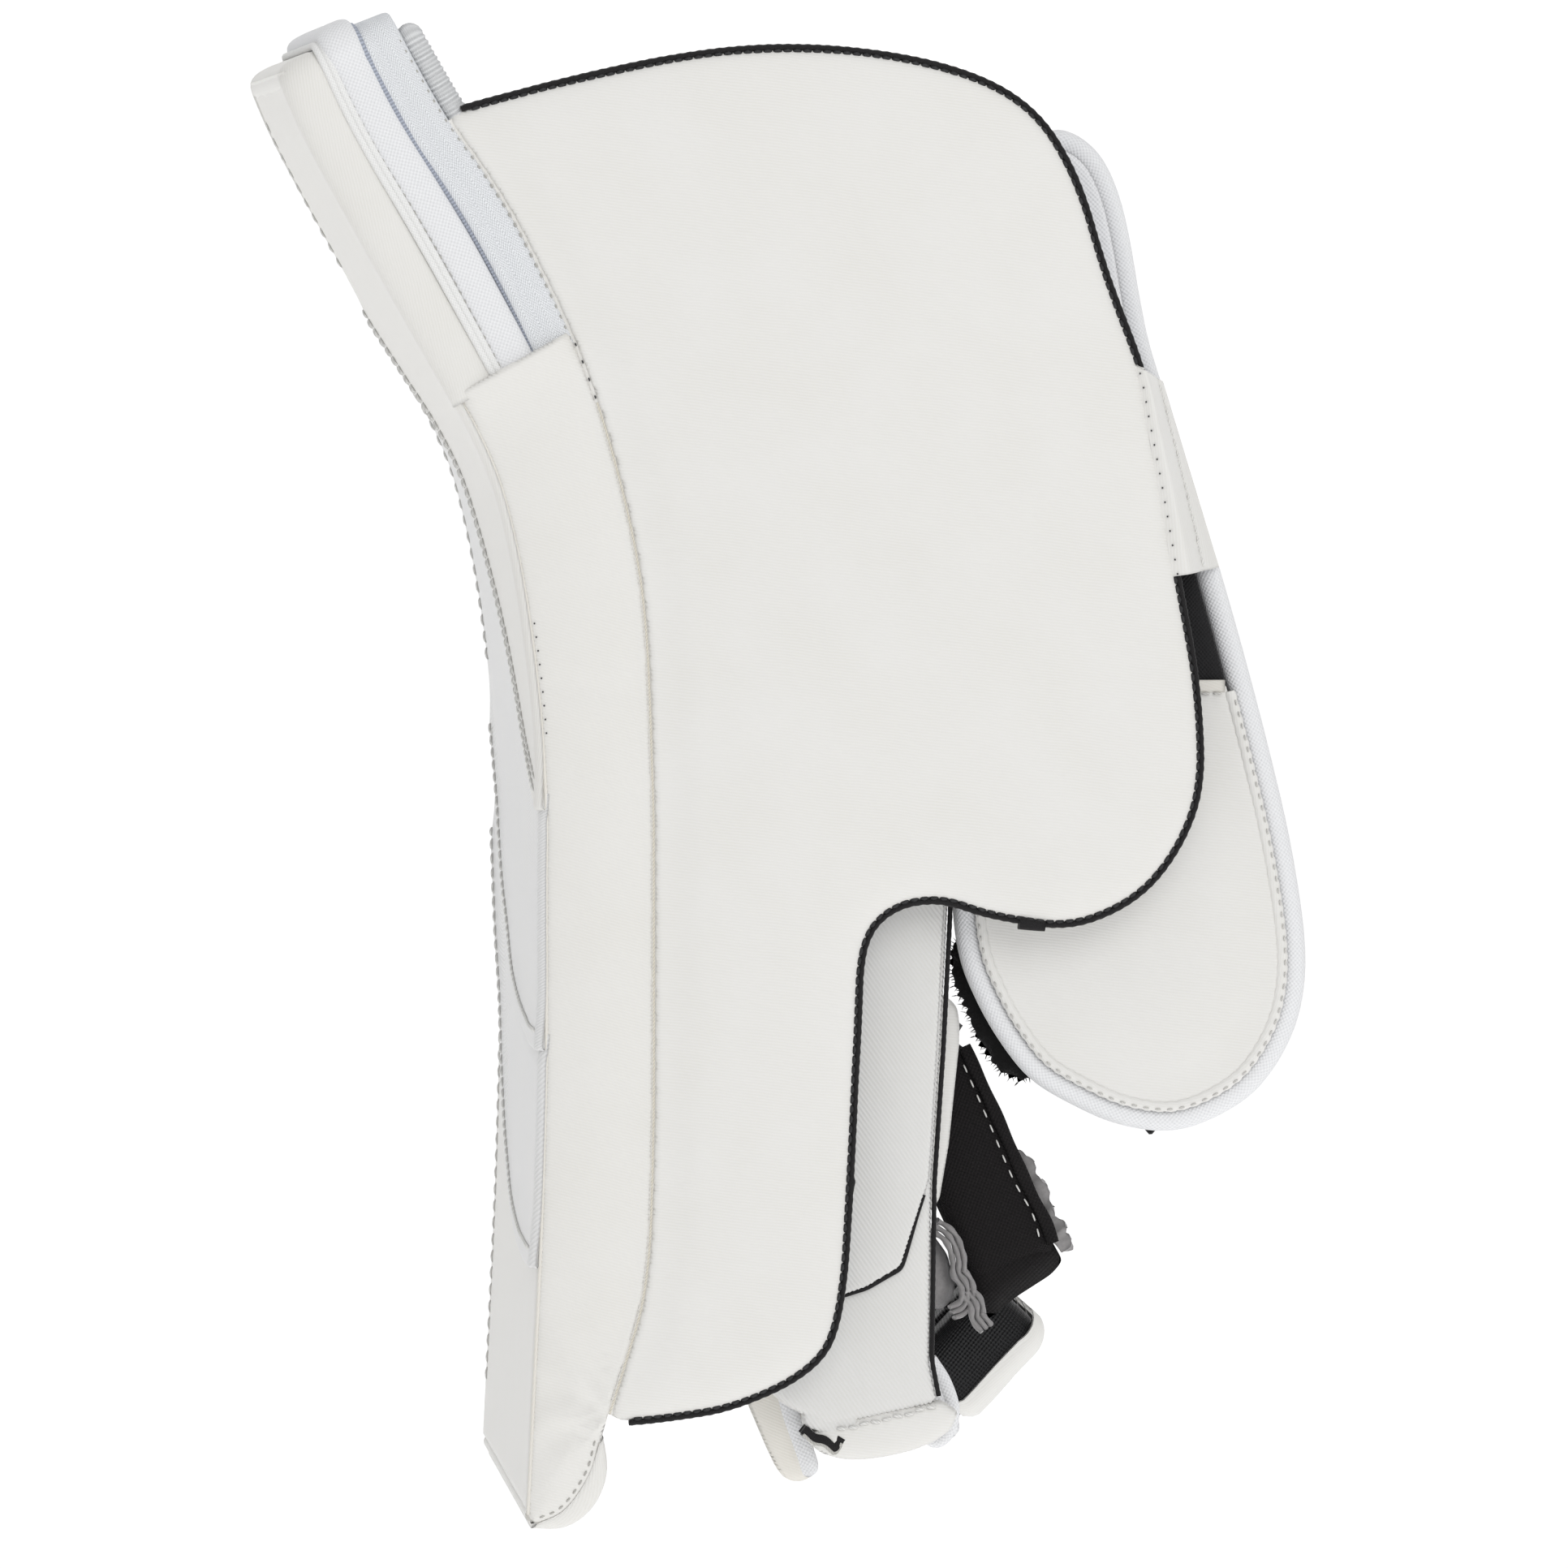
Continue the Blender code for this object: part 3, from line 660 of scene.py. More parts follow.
def woven(name, colour, pitch, relief, roughness=0.75, dark=0.72, sheen=0.12, ratio=1.0,
          slant=0.0):
    """Plain weave: raised threads in a checkerboard."""
    f = Finish(name, colour, roughness, specular=0.3, sheen=sheen)
    u = f.half_wave(f.slope(slant), pitch)
    v = f.half_wave(f.slope(slant + math.pi / 2), pitch * ratio)
    over = f.math("MULTIPLY", u, v)
    under = f.math("MULTIPLY", f.math("SUBTRACT", 1.0, u), f.math("SUBTRACT", 1.0, v))
    beads = f.math("POWER", f.math("ADD", over, under), 0.75)
    fuzz = f.noise(2600, 2)
    mixed = f.math("ADD", f.math("MULTIPLY", beads, 0.8), f.math("MULTIPLY", fuzz, 0.25))
    f.shades(mixed, dark, 1.06)
    f.rough(fuzz, roughness - 0.1, roughness + 0.12)
    return f.bumps((f.noise(150, 2), 0.12 * MM), (beads, relief), (fuzz, 0.02 * MM))


def herringbone(name, colour):
    """Twill tape whose ribs turn back every few millimetres."""
    f = Finish(name, colour, 0.7, specular=0.3, sheen=0.2, sheen_tint=(0.85, 0.9, 1))
    fold = f.math("PINGPONG", f.v, 2.4 * MM)
    ribs = f.half_wave(f.math("ADD", f.u, f.math("MULTIPLY", fold, 1.5)), 0.95 * MM)
    threads = f.half_wave(f.v, 0.34 * MM)
    fuzz = f.noise(2200, 2)
    mixed = f.math("ADD", f.math("MULTIPLY", ribs, 0.75), f.math("MULTIPLY", fuzz, 0.3))
    f.shades(mixed, 0.84, 1.06)
    f.rough(fuzz, 0.6, 0.85)
    return f.bumps((ribs, 0.16 * MM), (threads, 0.03 * MM), (fuzz, 0.02 * MM))


def ribbed(name, colour, pitch, relief, dark):
    """Ribs across a band, with threads along it."""
    f = Finish(name, colour, 0.7, specular=0.3, sheen=0.12)
    ribs = f.half_wave(f.u, pitch)
    threads = f.half_wave(f.v, pitch * 0.45)
    fuzz = f.noise(2400, 2)
    f.shades(f.math("ADD", f.math("MULTIPLY", ribs, 0.7), f.math("MULTIPLY", fuzz, 0.35)),
             dark, 1.05)
    f.rough(fuzz, 0.6, 0.82)
    return f.bumps((ribs, relief), (threads, relief * 0.35), (fuzz, 0.02 * MM))


def napped(name, colour, coarse=900.0, relief=0.14 * MM, sheen=0.5):
    """Suede, felt, foam and hook fastener: an uneven matt surface."""
    f = Finish(name, colour, 0.93, specular=0.15, sheen=sheen, sheen_tint=(0.8, 0.8, 0.82))
    nap = f.noise(coarse, 5)
    brushed = f.noise(coarse / 12, 3)
    mixed = f.math("ADD", f.math("MULTIPLY", nap, 0.55), f.math("MULTIPLY", brushed, 0.45))
    f.shades(mixed, 0.55, 1.35)
    f.rough(nap, 0.82, 1.0)
    return f.bumps((brushed, 0.2 * MM), (nap, relief))


def thread(name, colour):
    """Two-ply sewing thread, whose twist shows as slanting light and dark."""
    f = Finish(name, colour, 0.5, specular=0.4, sheen=0.1)
    ply = f.half_wave(f.slope(0.9), 0.55 * MM)
    f.shades(ply, 0.8, 1.05)
    f.rough(ply, 0.4, 0.6)
    return f.bumps((ply, 0.05 * MM))


def plastic(name, colour):
    """Moulded plastic, slightly clouded."""
    f = Finish(name, colour, 0.5)
    cloud = f.noise(400, 4)
    f.shades(cloud, 0.93, 1.03)
    f.rough(cloud, 0.42, 0.6)
    return f.bumps((cloud, 0.05 * MM))


LEATHER = leather("white_leather", (0.800, 0.790, 0.762), 1.30)
LEATHER_FLAT = leather("white_leather_fine", (0.800, 0.792, 0.768), 1.45, emboss=0.022 * MM)
LEATHER_EDGE = leather("cream_leather", (0.80, 0.775, 0.72), 1.2)
OVERLAY = leather("overlay_leather", (0.765, 0.765, 0.765), 0.65, pitch=1.0 * MM,
                  emboss=0.07 * MM, roughness=0.42)
SHIELD_LEATHER = leather("shield_leather", (0.765, 0.760, 0.745), 0.62, pitch=0.95 * MM,
                         emboss=0.085 * MM, roughness=0.5)
NYLON = woven("white_nylon", (0.86, 0.865, 0.88), 1.15 * MM, 0.16 * MM, dark=0.84)
NYLON_PIPING = woven("white_piping", (0.86, 0.86, 0.85), 0.9 * MM, 0.10 * MM, dark=0.88)
NYLON_RIB = ribbed("gathered_nylon", (0.78, 0.79, 0.80), 1.25 * MM, 0.2 * MM, dark=0.7)
SLATE = ribbed("slate_braid", (0.52, 0.56, 0.66), 0.9 * MM, 0.15 * MM, dark=0.5)
TAPE = herringbone("herringbone_tape", (0.90, 0.92, 0.945))
BLACK = woven("black_binding", (0.007, 0.006, 0.007), 0.7 * MM, 0.08 * MM, roughness=0.62,
              dark=0.45, sheen=0.08)
CORDURA = woven("black_cordura", (0.010, 0.0095, 0.011), 0.95 * MM, 0.16 * MM, roughness=0.66,
                dark=0.3, sheen=0.1, ratio=1.15)
CANVAS = woven("black_canvas", (0.0100, 0.0082, 0.0088), 1.15 * MM, 0.25 * MM, roughness=0.85,
               dark=0.12, sheen=0.02)
MESH_CLOTH = woven("black_mesh", (0.022, 0.022, 0.024), 1.25 * MM, 0.4 * MM, roughness=0.40,
                   dark=0.04, sheen=0.02, slant=0.7)
WEBBING = ribbed("black_webbing", (0.009, 0.009, 0.010), 1.3 * MM, 0.2 * MM, dark=0.4)
LINING = woven("white_lining", (0.62, 0.63, 0.66), 0.6 * MM, 0.07 * MM, roughness=0.8)
SUEDE = napped("grey_suede", (0.31, 0.30, 0.30))
PALM = napped("palm_suede", (0.30, 0.29, 0.285), coarse=700)
HOOK = napped("hook_fastener", (0.010, 0.010, 0.010), coarse=1500, relief=0.3 * MM, sheen=0.1)
FOAM = napped("dark_foam", (0.10, 0.10, 0.11), coarse=1200, sheen=0.1)
STIFFENER = plastic("stiffener", (0.72, 0.72, 0.72))
WHITE_THREAD = thread("white_thread", (0.80, 0.795, 0.77))
GREY_THREAD = thread("grey_thread", (0.50, 0.49, 0.46))
PALE_THREAD = thread("pale_thread", (0.66, 0.65, 0.62))
SEAM_THREAD = thread("seam_thread", (0.78, 0.74, 0.64))
BLACK_THREAD = thread("black_thread", (0.02, 0.02, 0.022))
HOLE = thread("needle_hole", (0.05, 0.05, 0.055))
FINISHES = {
    "leather_white": LEATHER, "leather_overlay": OVERLAY, "nylon_white": NYLON,
    "herringbone": TAPE, "binding_black": BLACK, "foam": FOAM, "stiffener": STIFFENER,
    "lining": LINING, "cordura_black": CORDURA, "mesh_black": MESH_CLOTH,
    "suede_grey": SUEDE, "hook_black": HOOK, "webbing_black": WEBBING,
}


# ---------------------------------------------------------------- the board's lines

SIDE_RING = outline("little_gusset")
SIDE_RING = np.roll(SIDE_RING, -SIDE_RING[:, 1].argmin(), 0)
TOP_OF_BACK, TOP_OF_FRONT = SIDE_RING[:, 1].argmax(), SIDE_RING[:, 0].argmin()
FRONT = spline(np.vstack([SIDE_RING[TOP_OF_FRONT:], SIDE_RING[:1]])[::-1], 1 * MM)
BACK = spline(SIDE_RING[1:TOP_OF_BACK + 1], 1 * MM)
FRONT_OUT, BACK_OUT = left(FRONT), -left(BACK)
THUMB_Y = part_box("thumb_gusset")[0].y + 1.0 * MM      # the board's two sides
LITTLE_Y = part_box("little_gusset")[1].y - 1.0 * MM
GUSSET_TOP = 0.757                                     # share of the side that leather covers
QUILT_CHANNELS = 9
LEATHER_THICKNESS = 1.1 * MM


def split_band(node):
    """The two long sides of a band-shaped CAD piece's outline."""
    ring = outline(node)
    size = np.linalg.norm(np.roll(ring, -1, 0) - ring, axis=1)
    first, second = np.sort(np.argsort(size)[:2])
    return ring[first + 1:second + 1], np.roll(ring, -(second + 1), 0)[:len(ring) - second + first]


def across(depth, share):
    """A place on the board's side: depth 0 is the face and 1 the back; share is along it."""
    front, back = at(FRONT, share), at(BACK, share)
    return front + (back - front) * depth


def rolled(low, high, radius, step=2.5 * MM, steps=6, turn=math.pi / 2):
    """Places across a panel that rolls over at both edges: y values and how far each one drops."""
    angles = np.linspace(turn, 0, steps, endpoint=False)
    flat = np.linspace(low + radius, high - radius, int((high - low - 2 * radius) / step))
    y = np.concatenate([low + radius - radius * np.sin(angles), flat,
                        (high - radius + radius * np.sin(angles))[::-1]])
    drop = radius * (1 - np.cos(angles))
    return y, np.concatenate([drop, np.zeros(len(flat)), drop[::-1]])


def surface(line, normals, shares, y, rise):
    """Points of a surface that follows a flat line and runs across the board, raised off it.

    shares, the places along the line, and rise are tables of rows by columns."""
    flat = at(line, shares) + at(normals, shares) * rise[..., None]
    return np.stack([flat[..., 0], np.broadcast_to(y, shares.shape), flat[..., 1]], -1)


def face_grid(shares, y, rise):
    """Points on the board's face."""
    return surface(FRONT, FRONT_OUT, shares, y, rise)


def repeated(shares, y):
    """A table with the same shares in each column."""
    return np.repeat(shares[:, None], len(y), 1)


def width_line(spot, inset):
    """A line over the width of the board at a flat place, this far in from both sides."""
    y = np.arange(THUMB_Y + inset, LITTLE_Y - inset, 3 * MM)
    return lift(np.tile(spot, (len(y), 1)), y)


def make_board_face():
    """The leather over the board's face, with one visible row of stitches."""
    y, drop = rolled(THUMB_Y - 0.2 * MM, LITTLE_Y + 0.2 * MM, 1.6 * MM)
    shares = repeated(np.linspace(0, 1, 190), y)
    out = 0.7 * MM - drop[None] + 0 * shares
    out += 0.12 * MM * ripple(np.stack([shares * 0.37, y[None] + 0 * shares], -1), 45 * MM, 3)
    ends = np.minimum(shares, 1 - shares) * arc(FRONT)[-1]
    out -= 1.2 * MM - dome(np.minimum(ends, 2 * MM), 2 * MM, 1.2 * MM)
    cover = shell("board_face", face_grid(shares, y, out), LEATHER_THICKNESS, LEATHER_FLAT)
    settle(cover, "board", "leather_white", "front_skin", "board_foam", held="stretched",
           on=["board_plate"])
    share = np.linspace(0.04, 0.4, 200)
    path = face_grid(share[:, None], np.array([LITTLE_Y - 7 * MM]),
                     0.85 * MM + 0 * share[:, None])[:, 0]
    sew("board", "leather_white", "face_little_stitches", path, lift(at(FRONT_OUT, share), 0),
        WHITE_THREAD, pitch=4.4 * MM, length=3.4 * MM)


def overlay_edges(node):
    """For each place across the face, the shares where a CAD overlay starts and ends."""
    co = vertices(NODES[node].data)
    _, along = to_line(co[:, [0, 2]], FRONT)
    share = along / arc(FRONT)[-1]
    ys = np.unique(np.round(co[:, 1], 4))
    ys = ys[[np.sum(np.abs(co[:, 1] - y) < 0.2 * MM) > 10 for y in ys]]
    table = [(y, share[np.abs(co[:, 1] - y) < 0.2 * MM].min(),
              share[np.abs(co[:, 1] - y) < 0.2 * MM].max()) for y in ys]
    return spline([row for row in table if row[0] < ys[-1] + 1], 1.5 * MM)


def make_overlays():
    """Three leather panels on the face, each one's stitched lower edge lying on the next."""
    length = arc(FRONT)[-1]
    y, drop = rolled(THUMB_Y - 1.0 * MM, LITTLE_Y + 1.0 * MM, 3.0 * MM, turn=1.25)
    for level, name in enumerate(("low", "middle", "high")):
        node = f"face_overlay_{name}"
        table = overlay_edges(node)
        low = np.interp(y, table[:, 0], table[:, 1])
        if name == "high":
            high = np.full(len(y), table[:, 2].max() + 0.012)
        else:
            high = np.interp(y, table[:, 0], table[:, 2]) + 0.013
        t = np.concatenate([[0, 0.002, 0.005, 0.009], np.linspace(0.014, 1, 150)])
        shares = low + (high - low) * t[:, None]
        from_edge = (shares - low) * length
        from_top = (high - shares) * length
        out = 2.1 * MM - drop[None] + 0.9 * MM * np.exp(-(from_edge / (9 * MM)) ** 2)
        out -= 0.55 * MM - dome(np.minimum(from_edge, 0.9 * MM), 0.9 * MM, 0.55 * MM)
        out -= 0.9 * MM * ease(1 - from_top / (8 * MM)) * (name != "high")
        out += 0.25 * MM * ripple(np.stack([shares * length, y[None] + 0 * shares], -1),
                                  38 * MM, 11 + level)
        material = OVERLAY if name != "high" else LEATHER
        panel = shell(f"overlay_{name}", face_grid(shares, y, out), 1.2 * MM, material)
        settle(panel, "board", "leather_overlay", node, held="stretched", on=["board_face"])
        for number in (1, 2) if name == "high" else (1,):
            inset = (2 + 3 * number) * MM
            line = low + inset / length
            lifted = np.array([np.interp(inset, from_edge[:, k], out[:, k])
                               for k in range(len(y))]) + 0.1 * MM
            path = face_grid(line[None], y, lifted[None])[0]
            normal = unit(np.column_stack([at(FRONT_OUT, line)[:, 0],
                                           -np.sign(y - y.mean()) * drop / (3 * MM),
                                           at(FRONT_OUT, line)[:, 1]]))
            sew("board", "leather_overlay", f"overlay_{name}_stitches_{number}", path[2:-2],
                normal[2:-2], WHITE_THREAD, pitch=4.6 * MM, length=3.5 * MM, radius=0.42 * MM,
                slant=0.25 * MM)
        rail = np.linspace(low[-1] + 0.05, min(0.97, high[-1]), 160)
        path = face_grid(rail[:, None], np.array([LITTLE_Y - 8 * MM]),
                         2.2 * MM + 0 * rail[:, None])[:, 0]
        if arc(path)[-1] > 12 * MM:
            sew("board", "leather_overlay", f"overlay_{name}_side_stitches", path,
                lift(at(FRONT_OUT, rail), 0), WHITE_THREAD, pitch=4.4 * MM, length=3.2 * MM,
                radius=0.36 * MM)


END_LINE = max(split_band("end_gusset"), key=lambda line: line[:, 1].mean())
END_LINE = spline(END_LINE if END_LINE[0, 1] > END_LINE[-1, 1] else END_LINE[::-1], 1 * MM)
TOP_LINE = min(split_band("top_gusset"), key=lambda line: line[:, 1].mean())
TOP_LINE = spline(TOP_LINE if TOP_LINE[0, 0] < TOP_LINE[-1, 0] else TOP_LINE[::-1], 0.5 * MM)
TOP_OUT = left(TOP_LINE)
END_SINK = 5.2 * MM         # how deep the cloth on the elbow end lies between the bands


def gusset_ring():
    """Outline of the board's side below the binding, down round its finger end."""
    shares = np.linspace(0, GUSSET_TOP, 160)
    back, front = at(BACK, shares), at(FRONT, shares)
    slant = back[-1] + (front[-1] - back[-1]) * np.linspace(0, 1, 14)[1:-1, None]
    return even(np.vstack([back, slant, front[::-1], END_LINE[::-1][1:-1]]), 1.3 * MM, True)


def gusset_bulge(xz):
    """Foam rounding, with the puckers that gather at the wing's lower corner.

    The top edge is a folded lip that lies over the ends of the bands."""
    shares = np.linspace(0, GUSSET_TOP, 160)
    back, front = at(BACK, shares), at(FRONT, shares)
    lip = to_line(xz, np.array([back[-1], front[-1]]))[0]
    seam = to_line(xz, back)[0]
    depth = np.minimum(np.minimum(seam, to_line(xz, front)[0]), to_line(xz, END_LINE)[0])
    corner = at(BACK, 0.0)
    away = xz - corner
    reach = np.linalg.norm(away, axis=1)
    turn = np.arctan2(away[:, 0], -away[:, 1])
    pucker = np.sin(turn * 7.5 + 0.8) * np.exp(-((reach - 9 * MM) / (15 * MM)) ** 2)
    height = dome(depth, 6 * MM, 1.5 * MM) + 1.3 * MM * ease(depth / (13 * MM))
    at_seam = 1.9 * MM * dome(seam, 0.9 * MM, 1.0) + 0.9 * MM * ease(seam / (10 * MM))
    height += (at_seam - height) * np.clip(1 - (seam - depth) / (4 * MM), 0, 1)
    height += 2.0 * MM * np.exp(-(lip / (8 * MM)) ** 2) * ease(depth / (2 * MM))
    height += 0.16 * MM * ripple(xz, 30 * MM, 21) * ease(depth / (4 * MM))
    fold = xz[:, 1] - 90 * MM + 0.12 * (xz[:, 0] + 50 * MM)
    height -= 0.35 * MM * np.exp(-(fold / (3 * MM)) ** 2) * ease(depth / (6 * MM))
    height += 0.85 * MM * pucker * ease(depth / (5 * MM))
    return height * (0.35 + 0.65 * dome(lip, 0.8 * MM, 1.0))


def make_gussets():
    """The board's leather sides and finger end, and what is sewn along them."""
    ring = gusset_ring()
    thumb = pad("thumb_gusset_cover", ring, lambda d, p: THUMB_Y - gusset_bulge(p),
                THUMB_Y + 1.0 * MM, LEATHER, 2.6 * MM, THUMB_Y + 0.4 * MM)
    settle(thumb, "board", "leather_white", "thumb_gusset", fill=0.7)
    little = pad("little_gusset_cover", ring, LITTLE_Y - 1.0 * MM,
                 lambda d, p: LITTLE_Y + gusset_bulge(p), LEATHER, 3.2 * MM, LITTLE_Y - 0.4 * MM)
    settle(little, "board", "leather_white", "little_gusset", fill=0.7)
    y, drop = rolled(THUMB_Y + 0.3 * MM, LITTLE_Y - 0.3 * MM, 3 * MM)
    t = np.linspace(0, 1, 22)
    out = -left(END_LINE)
    out = out if out.mean(0)[1] < 0 else -out
    swell = 4.2 * MM * np.sin(math.pi * t)[:, None] * (1 - (drop / (3 * MM)) ** 2)[None]
    swell -= 0.6 * MM
    swell += 0.3 * MM * ripple(np.stack([t[:, None] * 0.03 + 0 * y[None], y[None] + 0 * t[:, None]],
                                        -1), 24 * MM, 31) * np.sin(math.pi * t)[:, None]
    grid = surface(END_LINE, out, repeated(t, y), y, swell)
    end = shell("end_gusset_cover", grid[::-1], 1.1 * MM, LEATHER)
    settle(end, "board", "leather_white", "end_gusset", held="stretched", on=["board_plate"])

    inner = gusset_inset(END_LINE, 1.6 * MM)
    sew("board", "leather_white", "end_seam_stitches", lift(inner, THUMB_Y - 0.95 * MM), THUMBWARD,
        GREY_THREAD, pitch=2.6 * MM, length=1.5 * MM, radius=0.26 * MM)
    share = np.linspace(0.52, 0.60, 120)
    flat = at(FRONT, share) - at(FRONT_OUT, share) * 1.1 * MM
    sew("board", "binding_black", "front_seam_holes_high", lift(flat, THUMB_Y - 0.9 * MM),
        THUMBWARD, HOLE, pitch=3.4 * MM, length=0.45 * MM, radius=0.2 * MM)
    share = np.linspace(0, GUSSET_TOP, 400)
    bead = lift(at(FRONT, share) - at(FRONT_OUT, share) * 0.1 * MM, THUMB_Y - 0.25 * MM)
    cord = sweep("front_seam_bead", bead, THUMBWARD, oval(0.45 * MM, 0.4 * MM, 8), LEATHER_EDGE)
    settle(cord, "board", "leather_white")
    corner, ahead = at(FRONT, 0.0), at(FRONT_OUT, 0.0)
    bead = width_line(corner - ahead * 1.1 * MM, 0.5 * MM)
    cord = sweep("end_seam_bead", bead, (ahead[0], 0, ahead[1]), oval(1.7 * MM, 1.7 * MM, 12),
                 LEATHER)
    settle(cord, "board", "leather_white")


def gusset_inset(line, distance):
    """A line moved towards the middle of the board's side."""
    normal = left(line)
    middle = across(0.5, 0.1)
    if ((middle - line.mean(0)) * normal.mean(0)).sum() < 0:
        normal = -normal
    return line + normal * distance


# ---------------------------------------------------------------- bands round the elbow end

def band_path(depth, first=GUSSET_TOP - 0.008, lifted=0.0, over=0.0):
    """Up the thumb side, over the elbow end and down the other side, with outward normals.

    The band is lifted off the board, and by a further amount where it goes over the end."""
    corner = 3.8 * MM
    rising = across(depth, np.linspace(first, 1, 70))
    top, top_out = rising[-1], at(TOP_OUT, 0.5)
    flat = rising[np.linalg.norm(rising - top, axis=1) > corner * 0.98]
    points, normals = list(lift(flat, THUMB_Y)), [THUMBWARD] * len(flat)
    up = np.array([top_out[0], 0, top_out[1]])
    base = lift(flat[-1:], THUMB_Y)[0]
    hub = base + np.array([0, corner, 0])
    rise = np.array([top[0], THUMB_Y, top[1]]) - base
    for angle in np.linspace(0.1, math.pi / 2, 9):
        normal = np.array([0, -math.cos(angle), 0]) + up * math.sin(angle)
        points.append(hub + np.array([0, -corner * math.cos(angle), 0]) + rise * math.sin(angle))
        normals.append(normal)
    turn = len(points)
    for y in np.arange(THUMB_Y + corner + 4 * MM, LITTLE_Y - corner, 4 * MM):
        points.append(np.array([top[0], y, top[1]]))
        normals.append(up)
    for point, normal in list(zip(points, normals))[:turn][::-1]:
        points.append(np.array([point[0], THUMB_Y + LITTLE_Y - point[1], point[2]]))
        normals.append(np.array([normal[0], -normal[1], normal[2]]))
    points, normals = np.array(points, float), np.array(normals, float)
    away = (lifted + over * np.clip(normals @ up, 0, 1))[:, None]
    path = even(np.hstack([points + normals * away, normals * 0.01]), 1.1 * MM)
    for _ in range(12):
        path[1:-1] = (path[:-2] + 2 * path[1:-1] + path[2:]) / 4
    return path[:, :3], unit(path[:, 3:])


def band_width(low, high):
    """Half the width of a band between two depths, near the elbow end."""
    return np.linalg.norm(across(high, 0.9) - across(low, 0.9)) / 2


def make_bands():
    """The layers round the elbow end: roll, piping, bindings, tape and trim."""

    def strip(name, low, high, height, material, slot, *nodes, power=3.0, lifted=0.0, over=0.0):
        path, normals = band_path((low + high) / 2, lifted=lifted, over=over)
        piece = sweep(name, path, normals, strap_profile(band_width(low, high), height,
                                                         1.6 * MM, power=power), material)
        return settle(piece, "board", slot, *nodes)

    cushion = strip("cushion_roll", -0.07, 0.335, 4.4 * MM, LEATHER, "leather_white",
                    "cushion_side", power=2.5, lifted=-1.4 * MM, over=-1.6 * MM)
    path, normals = band_path(0.345, lifted=1.9 * MM, over=0.4 * MM)
    for number, shift in ((1, -0.75 * MM), (2, 0.75 * MM)):
        side = np.cross(direction(path), normals)
        cord = sweep(f"face_piping_{number}", path + side * shift, normals,
                     oval(0.95 * MM, 0.95 * MM, 10), NYLON_PIPING)
        settle(cord, "board", "nylon_white", *(["face_piping"] if number == 1 else []))
    strip("woven_edge_binding", 0.375, 0.672, 2.9 * MM, NYLON, "nylon_white", "edge_binding",
          power=2.8, over=3.0 * MM)
    path, normals = band_path(0.395, lifted=1.9 * MM, over=1.6 * MM)
    sew("board", "nylon_white", "piping_stitches", path, normals, GREY_THREAD, pitch=2.5 * MM,
        length=1.5 * MM, radius=0.26 * MM)
    path, normals = band_path(0.678, lifted=1.0 * MM, over=2.0 * MM)
    length = arc(path)[-1]

    def braid(s):
        """Thick over the elbow end, thinning down each side."""
        share = min(s, length - s) / (90 * MM)
        size = 0.3 + 0.8 * min(share, 1) ** 1.5
        return oval(size * MM, (size + 0.14 * math.sin(s * TAU / (1.15 * MM))) * MM, 8)

    groove = sweep("groove_braid", path, normals, braid, SLATE)
    settle(groove, "board", "herringbone")
    strip("herringbone_strip", 0.68, 1.0, 1.9 * MM, TAPE, "herringbone", "herringbone_tape",
          power=4.0, over=1.2 * MM)
    path, normals = band_path(0.985, lifted=1.3 * MM, over=1.2 * MM)
    sew("board", "herringbone", "tape_edge_stitches", path, normals, GREY_THREAD, pitch=2.8 * MM,
        length=1.2 * MM, radius=0.25 * MM)
    path, normals = band_path(1.09, first=0.86, lifted=-2.0 * MM, over=-3.5 * MM)
    rib = 1.5 * MM
    fine = even(path, 0.4 * MM)
    gathered = sweep(
        "gathered_binding", fine, at(normals, np.linspace(0, 1, len(fine))),
        lambda s: oval((3.0 + 0.22 * math.sin(s * TAU / rib)) * MM,
                       (3.0 + 0.3 * math.sin(s * TAU / rib)) * MM, 14), NYLON_RIB)
    settle(gathered, "board", "nylon_white")

    y, drop = rolled(THUMB_Y + 2.4 * MM, LITTLE_Y - 2.4 * MM, 3 * MM)
    shares = repeated(np.linspace(-0.02, 1.02, 30), y)
    grid = surface(TOP_LINE, TOP_OUT, shares, y, -(END_SINK + drop) + 0 * shares)
    end = shell("elbow_end_cover", grid, 1.0 * MM, NYLON)
    settle(end, "board", "nylon_white", "top_gusset", held="stretched", on=["board_plate"])


def make_board_back():
    """The board's nylon back, quilted to the foam in long channels."""
    y, drop = rolled(THUMB_Y + 0.4 * MM, LITTLE_Y - 0.4 * MM, 2 * MM)
    shares = repeated(np.linspace(0.002, 0.998, 180), y)
    channel = np.abs((shares * QUILT_CHANNELS) % 1 - 0.5) * 2
    puff = 0.9 * MM * np.sqrt(np.clip(1 - channel ** 4, 0, 1)) + 0 * y[None]
    grid = surface(BACK, BACK_OUT, shares, y, puff - drop[None] - 0.5 * MM)
    back = shell("quilted_back", grid[::-1], 1.0 * MM, LINING)
    settle(back, "board", "lining", "back_lining", held="stretched", on=["board_plate"])
    for number in range(QUILT_CHANNELS - 1):
        share = (number + 1) / QUILT_CHANNELS
        point, out = at(BACK, share), at(BACK_OUT, share)
        path = width_line(point - out * 0.3 * MM, 4 * MM)
        sew("board", "lining", f"quilt_stitches_{number + 1}", path, (out[0], 0, out[1]),
            WHITE_THREAD, pitch=4.5 * MM, length=3.2 * MM)


# ---------------------------------------------------------------- the wing

WING_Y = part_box("wing_binding_top")[0].y + 1.0 * MM     # depth of the wing's sewn edge
WING_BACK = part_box("wing_lining")[1].y


